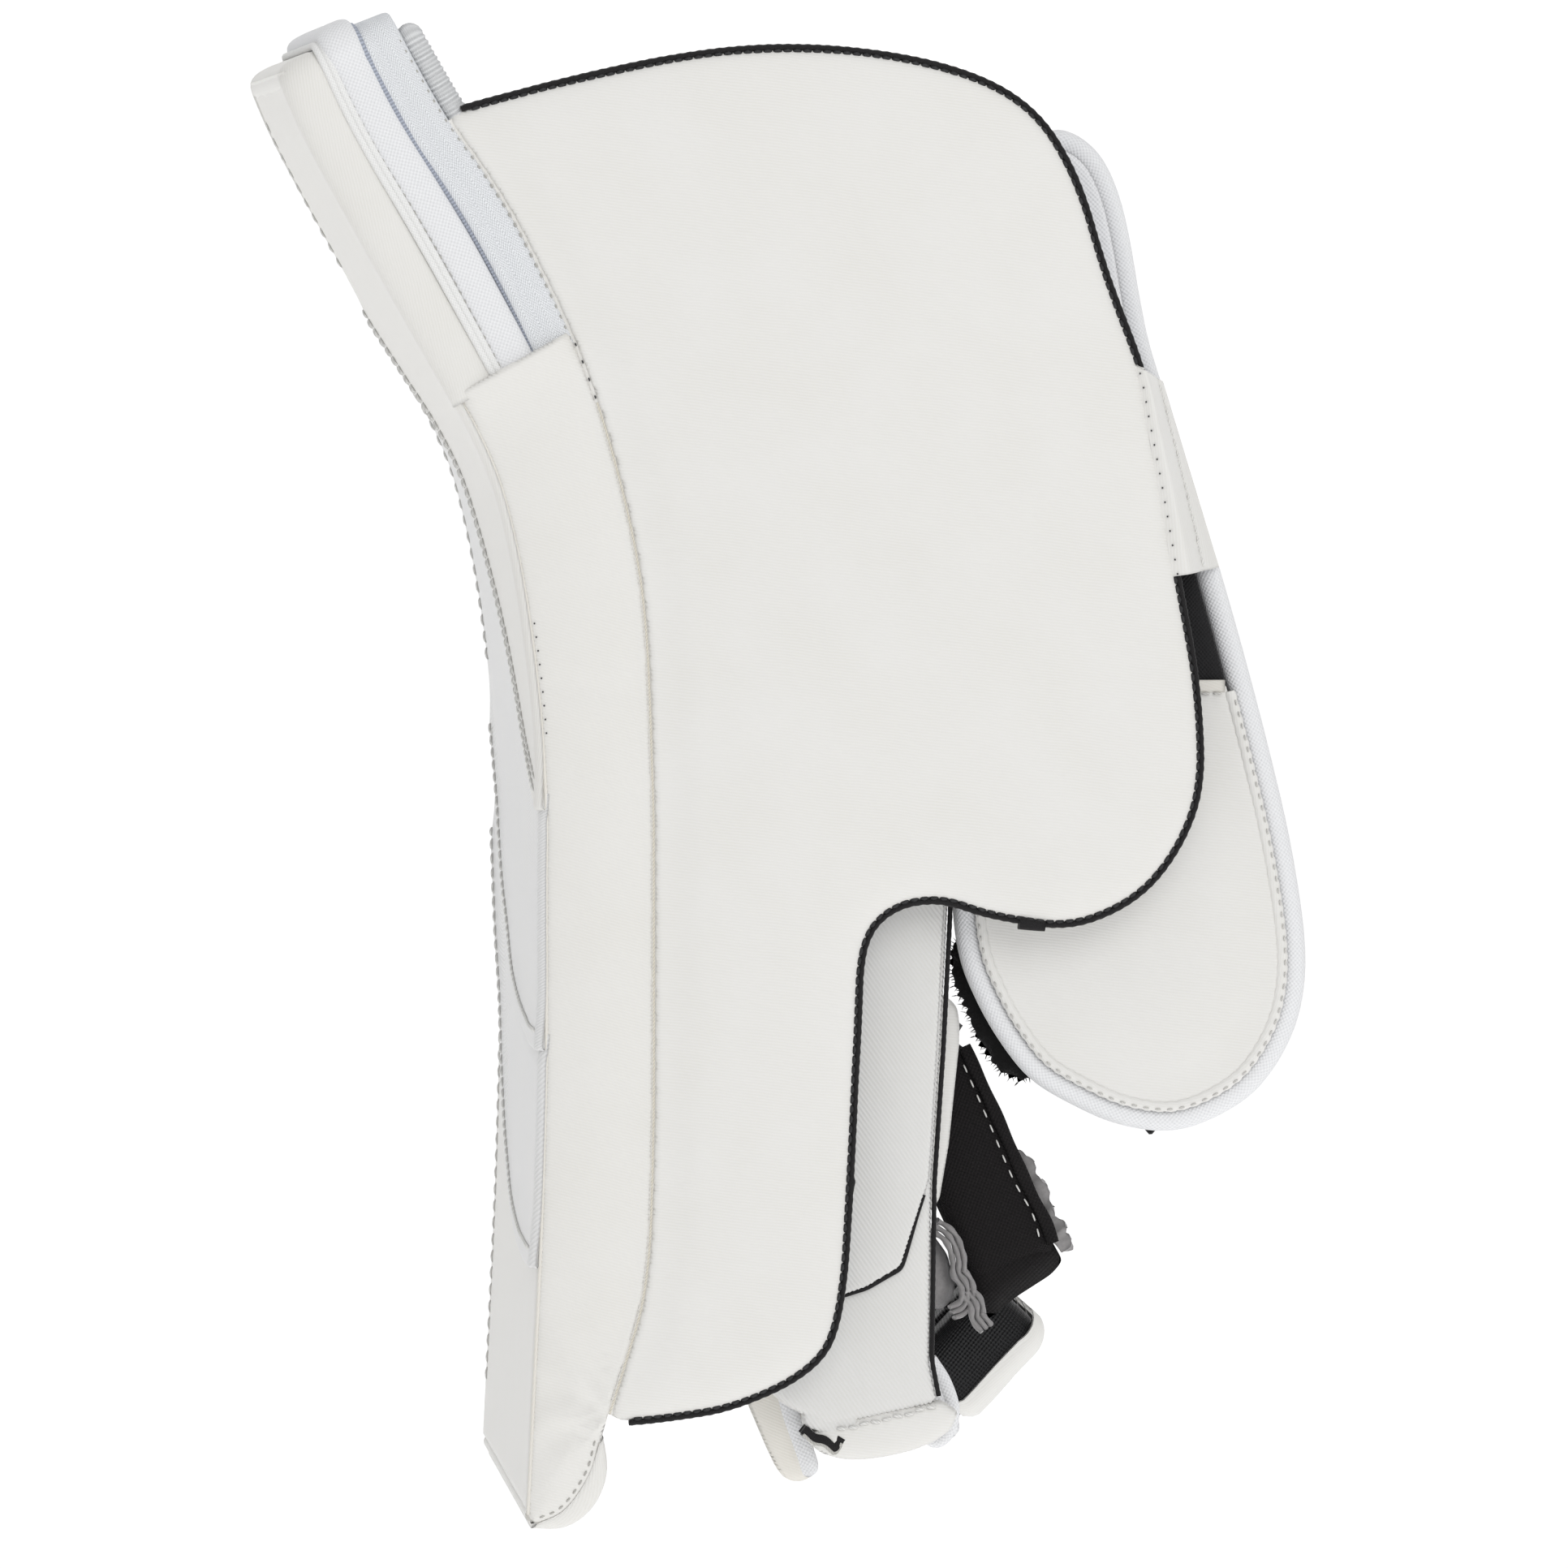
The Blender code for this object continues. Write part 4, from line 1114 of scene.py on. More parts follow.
def wing_lines():
    """The wing's free edge, from its lower root corner up to the top one, and its root seam."""
    ring = outline("wing_cover")
    on_root = to_line(ring, BACK)[0] < 1.2 * MM
    start = next(i for i in range(len(ring)) if on_root[i - 1] and not on_root[i])
    ring, on_root = np.roll(ring, -start, 0), np.roll(on_root, -start)
    count = int(np.argmax(on_root))
    edge = spline(np.vstack([ring[-1:], ring[:count + 1]]), 1 * MM)
    return edge, spline(ring[count:], 1 * MM)


WING_EDGE, WING_ROOT = wing_lines()
WING_OUT = -left(WING_EDGE)
BINDING_KNOT = mm((10, -31.4))      # where the lower binding thickens, and where its end laps over
BINDING_LAP = mm((56, 32))
ROOT_SEAM_TOP = 161 * MM            # above this the root's seam is hidden, and only holes show


def stretch_beside(node):
    """The part of the wing's edge that a CAD piece lies along: first and last place."""
    co = vertices(NODES[node].data)
    _, places = to_line(co[:, [0, 2]], WING_EDGE)
    return places.min(), places.max()


def edge_stretch(first, last, outward):
    """Points beside the wing's edge between two places along it, and its outward directions."""
    total = arc(WING_EDGE)[-1]
    share = np.linspace(first, last, int((last - first) / (0.6 * MM)) + 2) / total
    out = at(WING_OUT, share)
    return at(WING_EDGE, share) + out * outward, out


def make_wing():
    """The thumb wing: crowned leather, its back, and its black sewn binding."""
    ring = even(np.vstack([WING_EDGE, WING_ROOT[1:-1]]), 1.5 * MM, True)
    field = swollen(ring, 2.3 * MM)
    fringe = mm(0.3, 0.9, 1.8, 3.2, 5.0)

    def front(depth, xz):
        root, free = to_line(xz, WING_ROOT)[0], to_line(xz, WING_EDGE)[0]
        crown = sample(field, xz) * ease(depth / (9 * MM))
        wrinkle = 0.10 * MM * ripple(xz, 42 * MM, 5) * ease(depth / (10 * MM))
        sewn = 0.62 * dome(root, 1.0 * MM, 1.0) + 0.38 * ease(root / (12 * MM))
        return WING_Y - dome(free, 7 * MM, 2.7 * MM) * sewn - crown - wrinkle

    cover = pad("wing_face", ring, front, WING_Y + 0.3 * MM, LEATHER_FLAT, 2.6 * MM,
                WING_Y + 0.1 * MM, fringe)
    settle(cover, "board", "leather_white", "wing_cover", "wing_foam", "wing_plate", fill=0.75)
    thick = WING_BACK - WING_Y
    backing = pad("wing_back", ring, WING_Y + 0.45 * MM,
                  lambda d, p: WING_Y + 0.9 * MM + dome(d, 9 * MM, thick - 1.6 * MM)
                  + 0.5 * MM * ease(d / (20 * MM)), LINING, 4 * MM, WING_Y + 0.7 * MM, fringe)
    settle(backing, "board", "lining", "wing_lining", fill=0.7)

    pitch = 2.45 * MM
    for node, name in (("wing_binding_top", "upper"), ("wing_binding_low", "lower")):
        first, last = stretch_beside(node)
        flat, out = edge_stretch(first, last, 0.55 * MM)
        knot = to_line(BINDING_KNOT, WING_EDGE)[1][0] - first

        def profile(s):
            bulge = 1 + 0.10 * math.sin(s * TAU / pitch) + 0.06 * math.sin(s * 151)
            bulge += 0.5 * math.exp(-((s - knot) / (1.1 * MM)) ** 2) * (name == "lower")
            return oval(2.0 * MM * (0.96 + 0.04 * bulge), 0.78 * MM * bulge, 12, 2.4)

        binding = sweep(f"{name}_wing_binding", lift(flat, WING_Y + 0.5 * MM), lift(out, 0),
                        profile, BLACK)
        settle(binding, "board", "binding_black", node)
        flat, out = edge_stretch(first, last, -0.35 * MM)
        facing = unit(lift(out * 0.55, -1.0))
        sew("board", "binding_black", f"{name}_wing_stitches", lift(flat, WING_Y - 0.85 * MM),
            facing, BLACK_THREAD, pitch=pitch, length=2.2 * MM, radius=0.52 * MM)
    end = to_line(BINDING_LAP, WING_EDGE)[1][0]
    flat, out = edge_stretch(end - 4.2 * MM, end + 2.2 * MM, 0.9 * MM)
    lap = sweep("wing_binding_lap", lift(flat, WING_Y + 0.3 * MM), lift(out, 0),
                lambda s: oval(2.4 * MM, (1.75 - 60 * s) * MM, 12, 2.8), BLACK)
    settle(lap, "board", "binding_black")

    share = np.linspace(0.0, 1.0, 700)
    root_start = to_line(WING_ROOT[:1], BACK)[1][0] / arc(BACK)[-1]
    middle = (at(WING_ROOT, share) + at(BACK, np.linspace(root_start, 0, len(share)))) / 2
    wobble = 0.06 * MM * np.sin(np.linspace(0, 900, 700))
    filler = sweep("wing_root_edge", lift(middle, WING_Y + 0.35 * MM), THUMBWARD,
                   oval(1.0 * MM, 1.0 * MM, 10), LEATHER)
    settle(filler, "board", "leather_white")
    low = middle[:, 1] < ROOT_SEAM_TOP
    cord = sweep("wing_root_seam", lift(middle[low], WING_Y - 0.5 * MM + wobble[low]), THUMBWARD,
                 oval(0.3 * MM, 0.3 * MM, 8), SEAM_THREAD)
    settle(cord, "board", "leather_white")
    high = middle[np.abs(middle[:, 1] - 167 * MM) < 9 * MM]
    sew("board", "binding_black", "wing_root_holes", lift(high, WING_Y - 0.85 * MM), THUMBWARD,
        HOLE, pitch=4.6 * MM, length=0.9 * MM, radius=0.2 * MM)


TAB_CUFF_SIDE = 0.083       # the tab's corners on the cuff's side are beyond this x


def make_cuff_tab():
    """The leather tab that hinges the cuff to the wing, sewn in two lobes."""
    low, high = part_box("cuff_tab")
    corners = outline("cuff_tab")
    right_low = corners[np.argmax(corners[:, 0])]
    beside_cuff = corners[:, 0] >= TAB_CUFF_SIDE
    right_high = corners[np.argmax(corners[:, 0] + 0.9 * corners[:, 1] - 9 * ~beside_cuff)]
    _, binding_end = stretch_beside("wing_binding_low")
    binding_start, _ = stretch_beside("wing_binding_top")
    rows, columns = 70, 34
    s = np.linspace(0, 1, rows)[:, None]
    wing, _ = edge_stretch(binding_end - 1.2 * MM, binding_start + 1.2 * MM, -0.9 * MM)
    wing = at(wing, np.linspace(0, 1, rows))[:, None]
    cuff = right_low + (right_high - right_low) * s
    cuff = cuff[:, None] + np.array([0.4, -0.1]) * MM
    v = np.linspace(0, 1, columns)[None, :, None]
    flat = wing + (cuff - wing) * v
    v = v[..., 0]
    seam = 0.66 + 0.14 * s
    first = np.sin(math.pi * np.clip(v / seam, 0, 1))
    second = np.sin(math.pi * np.clip((v - seam) / (1 - seam), 0, 1))
    y = WING_Y - 1.3 * MM + (CUFF_FACE - 0.8 * MM - WING_Y + 1.3 * MM) * ease((v - 0.25) / 0.75)
    y = y - 1.5 * MM * first - 1.7 * MM * second
    y = y + 0.18 * MM * ripple(np.stack([s * 0.05 + 0 * v, v * 0.01 + 0 * s], -1), 11 * MM, 8)
    grid = np.stack([flat[..., 0], y, flat[..., 1]], -1)
    blend = ("board", "cuff", (low.x + 2 * MM, low.y, (low.z + high.z) / 2),
             (high.x - 5 * MM, low.y, (low.z + high.z) / 2 + 1.6 * MM))
    tab = shell("cuff_tab_leather", grid[::-1], 1.1 * MM, LEATHER_FLAT)
    settle(tab, blend, "leather_white", "cuff_tab", held="stretched",
           on=["wing_face", "cuff_binding_webbing"])
    k = np.arange(rows)
    seam_column = (seam[:, 0] * (columns - 1)).round().astype(int)
    path = grid[k, seam_column] + np.array([0, -0.35 * MM, 0])
    sew(blend, "leather_white", "cuff_tab_seam_stitches", path, (0.5, -1, 0), WHITE_THREAD,
        pitch=2.8 * MM, length=2.2 * MM, radius=0.36 * MM)
    path = grid[:, 3] + np.array([0, -0.25 * MM, 0])
    sew(blend, "binding_black", "cuff_tab_holes", path, THUMBWARD, HOLE, pitch=3.6 * MM,
        length=0.5 * MM, radius=0.2 * MM)


# ---------------------------------------------------------------- the wrist cuff and its strap

CUFF_RING = spline(outline("cuff_core"), 1.3 * MM, closed=True)
CUFF_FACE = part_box("cuff_face")[0].y
CUFF_MID = (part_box("cuff_core")[0].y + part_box("cuff_core")[1].y) / 2
CUFF_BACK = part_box("cuff_lining")[1].y


def moved(ring, distance):
    """A closed ring moved outwards, with crowded points dropped."""
    line = ring - left(ring, True) * distance
    keep = to_line(line, ring, True)[0] > abs(distance) * 0.96
    return even(line[keep], 1.3 * MM, True)


def beyond(ring, level, above):
    """The part of a closed ring above or below a level, closed with a straight line."""
    keep = (ring[:, 1] > level) == above
    start = next(i for i in range(len(ring)) if keep[i] and not keep[i - 1])
    kept = np.roll(ring, -start, 0)[:int(keep.sum())]
    closing = np.linspace(kept[-1], kept[0], 40)[1:-1]
    return even(np.vstack([kept, closing]), 1.3 * MM, True)


def lower_stretch(ring, level):
    """The open part of a closed ring below a level."""
    keep = ring[:, 1] < level
    start = next(i for i in range(len(ring)) if keep[i] and not keep[i - 1])
    return even(np.roll(ring, -start, 0)[:int(keep.sum())], 0.8 * MM)


def soften(ring, size):
    """A closed ring with its corners rounded off."""
    ring = even(ring, 0.8 * MM, True)
    for _ in range(max(1, int(2 * (size / (0.8 * MM)) ** 2))):
        ring = (np.roll(ring, 1, 0) + 2 * ring + np.roll(ring, -1, 0)) / 4
    return ring


def make_cuff():
    """The wrist cuff: cloth, leather patches, binding, hook patch and strap."""
    base = pad("cuff_cordura_face", CUFF_RING, domed(CUFF_FACE + 0.5 * MM, 4 * MM, -1.0 * MM),
               CUFF_MID, CORDURA, 3 * MM, CUFF_FACE + 1.2 * MM)
    settle(base, "cuff", "cordura_black", "cuff_face", "cuff_core", fill=0.6)
    lining = pad("cuff_inner_face", CUFF_RING, CUFF_MID + 0.3 * MM,
                 domed(CUFF_BACK - 0.6 * MM, 5 * MM, 1.0 * MM), CORDURA, 3.5 * MM,
                 CUFF_MID + 1.5 * MM)
    settle(lining, "cuff", "cordura_black", "cuff_lining", fill=0.6)

    inner = moved(CUFF_RING, -0.3 * MM)
    level = 91.0 * MM        # top of the lower leather; the upper one starts above the tab
    upper = beyond(moved(CUFF_RING, 1.6 * MM), 163 * MM, True)
    for name, ring, material in (("lower", beyond(inner, level, False), LEATHER_FLAT),
                                 ("upper", upper, NYLON)):
        field = swollen(ring, 0.9 * MM)
        patch = pad(f"cuff_{name}_leather", ring,
                    lambda d, p: CUFF_FACE - 0.9 * MM - dome(d, 2 * MM, 0.5 * MM)
                    - sample(field, p) - 0.08 * MM * ripple(p, 30 * MM, 9) * ease(d / (6 * MM)),
                    CUFF_FACE - 0.45 * MM, material, 2.8 * MM, CUFF_FACE - 0.7 * MM)
        settle(patch, "cuff", "leather_white", fill=0.5)
    spans = inner[np.abs(inner[:, 1] - level) < 1.6 * MM][:, 0]
    hem_line = np.column_stack([np.linspace(spans.min() + 1 * MM, spans.max() - 0.6 * MM, 60),
                                np.full(60, level - 0.8 * MM)])
    hem = sweep("cuff_patch_hem", lift(hem_line, CUFF_FACE - 1.5 * MM), THUMBWARD,
                strap_profile(1.5 * MM, 0.7 * MM), LEATHER_EDGE)
    settle(hem, "cuff", "leather_white")
    sew("cuff", "leather_white", "cuff_hem_stitches",
        lift(hem_line - [0, 1.9 * MM], CUFF_FACE - 2.0 * MM), THUMBWARD, PALE_THREAD,
        pitch=3 * MM, length=2.2 * MM)

    edge = even(moved(CUFF_RING, 3.3 * MM), 0.8 * MM, True)
    binding = sweep("cuff_binding_webbing", lift(edge, CUFF_MID), lift(-left(edge, True), 0),
                    oval(4.2 * MM, 3.3 * MM, 20, 2.3), NYLON, closed=True)
    settle(binding, "cuff", "nylon_white", "cuff_binding")
    bead = lower_stretch(moved(CUFF_RING, 0.2 * MM), level - 1.5 * MM)
    cord = sweep("cuff_bead", lift(bead, CUFF_FACE - 1.0 * MM), THUMBWARD,
                 lambda s: oval((1.35 + 0.14 * math.sin(s * TAU / (3 * MM))) * MM, 0.85 * MM, 12),
                 LEATHER_FLAT)
    settle(cord, "cuff", "leather_white")
    seam = lower_stretch(moved(CUFF_RING, 0.9 * MM), level - 1.5 * MM)
    sew("cuff", "leather_white", "cuff_edge_stitches", lift(seam, CUFF_FACE - 1.75 * MM), THUMBWARD,
        PALE_THREAD, pitch=3.0 * MM, length=1.5 * MM, radius=0.24 * MM)

    hook_ring = soften(outline("cuff_hook"), 1.2 * MM)
    rough = 0.45 * MM * np.sin(arc(hook_ring) * 2300) + 0.35 * MM * np.sin(arc(hook_ring) * 5100)
    hook_ring = hook_ring - left(hook_ring, True) * rough[:, None]
    hook_low, hook_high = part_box("cuff_hook")[0].y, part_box("cuff_hook")[1].y
    hook = pad("cuff_hook_patch", hook_ring, hook_low + 0.1 * MM, hook_high - 0.2 * MM, HOOK,
               3 * MM, fringe=mm(0.6))
    settle(hook, "cuff", "hook_black", "cuff_hook", held="stretched", on=["cuff_inner_face"])
    settle(bristles("cuff_hook_pile", hook_ring, hook_low, hook_high), "cuff", "hook_black")

    strap_ring = even(outline("closure_strap"), 1.2 * MM, True)
    low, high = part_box("closure_strap")[0].y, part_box("closure_strap")[1].y
    strap = pad("closure_webbing", strap_ring, domed(low + 0.15 * MM, 0.8 * MM, -0.2 * MM),
                high - 0.1 * MM, WEBBING, 2.5 * MM, (low + high) / 2, fringe=mm(0.4, 1.0))
    settle(strap, "strap", "webbing_black", "closure_strap", held="hung", on=["cuff_inner_face"])
    centre, half = strap_ring.mean(0), 9 * MM
    box = [(-half, 0), (half, 0), (half, 2 * half), (-half, 2 * half), (-half, 0), (half, 2 * half),
           (half, 0), (-half, 2 * half)]
    sew("strap", "webbing_black", "closure_box_stitches",
        lift(centre + np.array([0, -8 * MM]) + np.array(box), high + 0.05 * MM), (0, 1, 0),
        GREY_THREAD, pitch=2.6 * MM, length=2.0 * MM)


def bristles(name, ring, low_y, high_y):
    """Hook pile: short bent hairs over a patch and a ragged fringe round it."""
    count = 1500
    dice = np.random.default_rng(7)
    box_low, box_high = ring.min(0), ring.max(0)
    spots = dice.uniform(box_low, box_high, (count * 2, 2))
    spots = spots[inside(spots, ring)][:count]
    rim = ring[dice.integers(0, len(ring), count // 2)]
    points, faces, uvs = [], [], []
    out = -left(ring, True)
    for k, (spot, at_rim) in enumerate([(p, False) for p in spots] + [(p, True) for p in rim]):
        if at_rim:
            near = out[np.argmin(((ring - spot) ** 2).sum(1))]
            base = np.array([spot[0], dice.uniform(low_y, high_y), spot[1]])
            lean = np.array([near[0], dice.uniform(-0.5, 0.5), near[1]])
            tip = base + lean * dice.uniform(0.5, 1.5) * MM
        else:
            base = np.array([spot[0], high_y - 0.3 * MM, spot[1]])
            tip = base + np.array([dice.uniform(-0.5, 0.5), dice.uniform(0.7, 1.1),
                                   dice.uniform(-0.5, 0.5)]) * MM
        along = unit(tip - base)
        side = unit(np.cross(along, [0.31, 0.2, 0.9])) * 0.13 * MM
        other = np.cross(along, side)
        start = len(points)
        points += [base + side, base - side / 2 + other * 0.87, base - side / 2 - other * 0.87, tip]
        faces += [[start, start + 1, start + 3], [start + 1, start + 2, start + 3],
                  [start + 2, start, start + 3], [start + 2, start + 1, start]]
        uvs += [np.zeros((3, 2))] * 4
    return make_piece(name, points, faces, HOOK, uvs)


# ---------------------------------------------------------------- the finger shield

def chunk(ring, start, end):
    """The part of a ring that runs counter-clockwise between the points nearest two places."""
    first = np.argmin(((ring - start) ** 2).sum(1))
    ring = np.roll(ring, -first, 0)
    return ring[:np.argmin(((ring - end) ** 2).sum(1)) + 1]


def make_shield():
    """The finger shield, its overlay, end roll and the bound flaps round it."""
    low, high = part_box("shield_panel")[0].y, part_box("shield_panel")[1].y
    panel_ring = soften(outline("shield_panel"), 1.0 * MM)
    panel = pad("shield_face", panel_ring,
                lambda d, p: low + 0.6 * MM - dome(d, 3.5 * MM, 0.9 * MM)
                + 0.05 * MM * ripple(p, 25 * MM, 4), domed(high - 0.8 * MM, 3.5 * MM, 0.8 * MM),
                SHIELD_LEATHER, 3 * MM, (low + high) / 2)
    settle(panel, "board", "leather_white", "shield_panel", fill=0.7)
    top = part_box("shield_overlay")[0].y
    ring = soften(outline("shield_overlay"), 0.6 * MM)
    overlay = pad("shield_overlay_leather", ring,
                  lambda d, p: top + 0.6 * MM - dome(d, 1.2 * MM, 0.55 * MM)
                  - 0.25 * MM * ease(d / (8 * MM)), top + 1.2 * MM, SHIELD_LEATHER, 3 * MM,
                  top + 0.9 * MM, fringe=mm(0.25, 0.7, 1.4))
    settle(overlay, "board", "leather_overlay", "shield_overlay", held="stretched",
           on=["shield_face"])
    lower = spline(chunk(ring, mm((6, -62.4))[0], mm((29.5, -36.5))[0])[::4], 0.7 * MM)
    trim = sweep("shield_overlay_trim", lift(lower, top + 0.75 * MM), lift(-left(lower), 0),
                 lambda s: oval(0.6 * MM,
                                (0.42 + 0.35 * math.sin(min(s / (33 * MM), 1) * math.pi)) * MM, 8),
                 BLACK)
    settle(trim, "board", "binding_black")
    line = spline(chunk(panel_ring, mm((32.5, -86))[0], mm((35.6, 57))[0])[::6], 0.7 * MM)
    line = line - left(line) * 0.5 * MM
    piping = sweep("shield_side_piping", lift(line, low + 0.6 * MM), lift(-left(line), 0),
                   lambda s: oval(1.0 * MM, (0.62 + 0.05 * math.sin(s * TAU / (2.2 * MM))) * MM,
                                  10), BLACK)
    settle(piping, "board", "binding_black", "shield_piping")

    cap_low, cap_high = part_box("shield_end_cap")[0].y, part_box("shield_end_cap")[1].y
    ring = soften(moved(outline("shield_end_cap"), 1.6 * MM), 0.8 * MM)
    cap = pad("shield_end_roll", ring, domed(cap_low + 1.5 * MM, 5 * MM, -1.9 * MM),
              domed(cap_high - 1.6 * MM, 4 * MM, 1.4 * MM), LEATHER_FLAT, 2 * MM,
              (cap_low + cap_high) / 2)
    settle(cap, "board", "leather_white", "shield_end_cap", fill=0.7)
    seam = spline(mm((6.5, -94.8), (15, -92.9), (25, -90.6), (34, -87.8)), 0.6 * MM)
    seam[:, 1] += 0.25 * MM * np.sin(arc(seam) * 900)
    sew("board", "leather_white", "shield_end_stitches", lift(seam, low - 0.35 * MM), THUMBWARD,
        WHITE_THREAD, pitch=2.9 * MM, length=2.4 * MM, radius=0.45 * MM, slant=0.2 * MM)
    ring = soften(even(mm((-1.0, -88.5), (-0.9, -94.0), (8.7, -97.4), (13.0, -96.0), (13.0, -88.5)),
                       1 * MM, True), 0.8 * MM)
    corner = pad("shield_corner", ring, domed(low + 0.5 * MM, 2 * MM, -0.5 * MM), high - 0.8 * MM,
                 SHIELD_LEATHER, 2 * MM, (low + high) / 2)
    settle(corner, "board", "leather_white", fill=0.5)
    fold = spline(mm((-0.9, -94.2), (1.9, -96.4), (4.4, -97.0), (7.0, -99.0), (8.8, -96.4)),
                  0.5 * MM)
    face = min(low, cap_low)
    for name, drop, half, material, slot in (("shield_corner_fold", 0.0, 1.15, BLACK,
                                              "binding_black"),
                                             ("shield_corner_rim", -1.3, 0.45, GREY_THREAD,
                                              "suede_grey")):
        path = lift(fold + [0, drop * MM], face - 0.2 * MM)
        path[:, 1] += 0.25 * MM * np.sin(arc(path) * 700)
        piece = sweep(name, path, THUMBWARD, strap_profile(half * MM, 0.5 * MM, 2.0 * MM), material)
        settle(piece, "board", slot)

    for node, name, material, slot in (
            ("board_side_flap", "board_flap", LEATHER_EDGE, "nylon_white"),
            ("palm_side_flap", "palm_flap", NYLON, "nylon_white"),
            ("web_guard", "web_panel", LEATHER_FLAT, "leather_white")):
        near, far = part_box(node)[0].y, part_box(node)[1].y
        ring = soften(outline(node), 0.8 * MM)
        if node == "board_side_flap":
            share = np.clip((-86 * MM - ring[:, 1]) / (16 * MM), 0, 1)[:, None]
            ring = ring + share * np.array([2.0 * MM, -2.8 * MM])
        flap = pad(name, ring, domed(near + 1.0 * MM, 3 * MM, -1.2 * MM),
                   domed(far - 0.8 * MM, 3 * MM, 0.8 * MM), material, 2 * MM, (near + far) / 2)
        settle(flap, "board", slot, node, fill=0.5)
    middle = (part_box("board_side_flap")[0].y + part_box("board_side_flap")[1].y) / 2
    for name, half, points in (
            ("board_flap_webbing", 2.8, ((-7.0, -80), (-4.7, -87), (-3.1, -92.5), (-0.9, -98.6),
                                         (0.9, -104.0), (1.3, -107.0))),
            ("palm_flap_webbing", 1.9, ((31.5, -78), (35.0, -83.5), (37.1, -90), (36.2, -95.5),
                                        (33.4, -98.2), (30.2, -97.2)))):
        path = spline(mm(*points), 0.7 * MM)
        length = arc(path)[-1]

        def rounded_end(d, half=half, length=length):
            """The webbing's section, drawn in over its last 3 mm."""
            into = max(0, (d - length) / (3 * MM) + 1)
            return strap_profile(half * MM * math.sqrt(max(1 - into ** 2, 0.03)), 1.7 * MM,
                                 2.2 * MM, power=2.4)

        strap = sweep(name, lift(path, middle - 1.2 * MM), THUMBWARD, rounded_end, NYLON)
        settle(strap, "board", "nylon_white")


def make_ruffle(name, path, width, amplitude, pitch, seed, side):
    """A ragged strip of suede standing up along a path, waved along its free edge."""
    path = spline(path, 0.5 * MM)
    out = unit(np.cross(direction(path), THUMBWARD)) * side
    dice = np.random.default_rng(seed)
    s = arc(path)
    wave = np.sin(s * TAU / pitch + dice.uniform(0, 6)) + 0.5 * np.sin(s * TAU / pitch * 1.7)
    swell = np.sqrt(np.clip(np.sin(math.pi * np.clip(0.16 + 0.76 * s / s[-1], 0, 1)), 0, 1))
    ragged = swell * (1 + 0.13 * np.sin(s * TAU / pitch * 0.8 + seed) + 0.04
                      * np.sin(s * TAU / pitch * 2.6))
    t = np.linspace(0, 1, 9)
    grid = (path[:, None] + out[:, None] * (t[None] * width * ragged[:, None])[..., None]
            + np.array(THUMBWARD, float) * (amplitude * wave[:, None] * t[None] ** 1.3)[..., None])
    return settle(shell(name, grid, 1.1 * MM, SUEDE), "thumb", "suede_grey", held="stretched",
                  on=["thumb_canvas"])


# ---------------------------------------------------------------- the glove

def rounded_ring(low, high, level, power=4.0, count=56):
    """A level ring: a superellipse filling the box between two (x, y) corners."""
    centre, half = (np.add(low, high)) / 2, (np.subtract(high, low)) / 2
    flat = oval(half[0], half[1], count, power) + centre
    return np.column_stack([flat, np.full(count, level)])


def loft(name, rings, thickness, material, crumple, size, seed):
    """An open-ended cloth tube through a few rings, smoothed, with soft creases."""
    rings = np.asarray(rings)
    rows = spline(rings.reshape(len(rings), -1), 2.0 * MM * math.sqrt(rings.shape[1]))
    grid = rows.reshape(len(rows), -1, 3)
    centre = grid.mean(1, keepdims=True)
    out = unit(grid - centre)
    turn = np.arctan2(out[..., 1], out[..., 0])
    crease = ripple(np.stack([np.cos(turn) * 25 * MM + grid[..., 2] * 0.3,
                              np.sin(turn) * 25 * MM + grid[..., 2]], -1), size, seed)
    grid = grid - out * (crumple * (0.5 + 0.5 * crease))[..., None]
    return shell(name, grid[::-1] if grid[0, 0, 2] < grid[-1, 0, 2] else grid, thickness,
                 material, wrap_columns=True)


def glove_rings(low, high, *levels):
    """Rings from (z, how far drawn in on each side, corner power)."""
    return [rounded_ring((low.x + inset * MM, low.y + inset * MM),
                         (high.x - inset * MM, high.y - inset * MM), z * MM, power)
            for z, inset, power in levels]


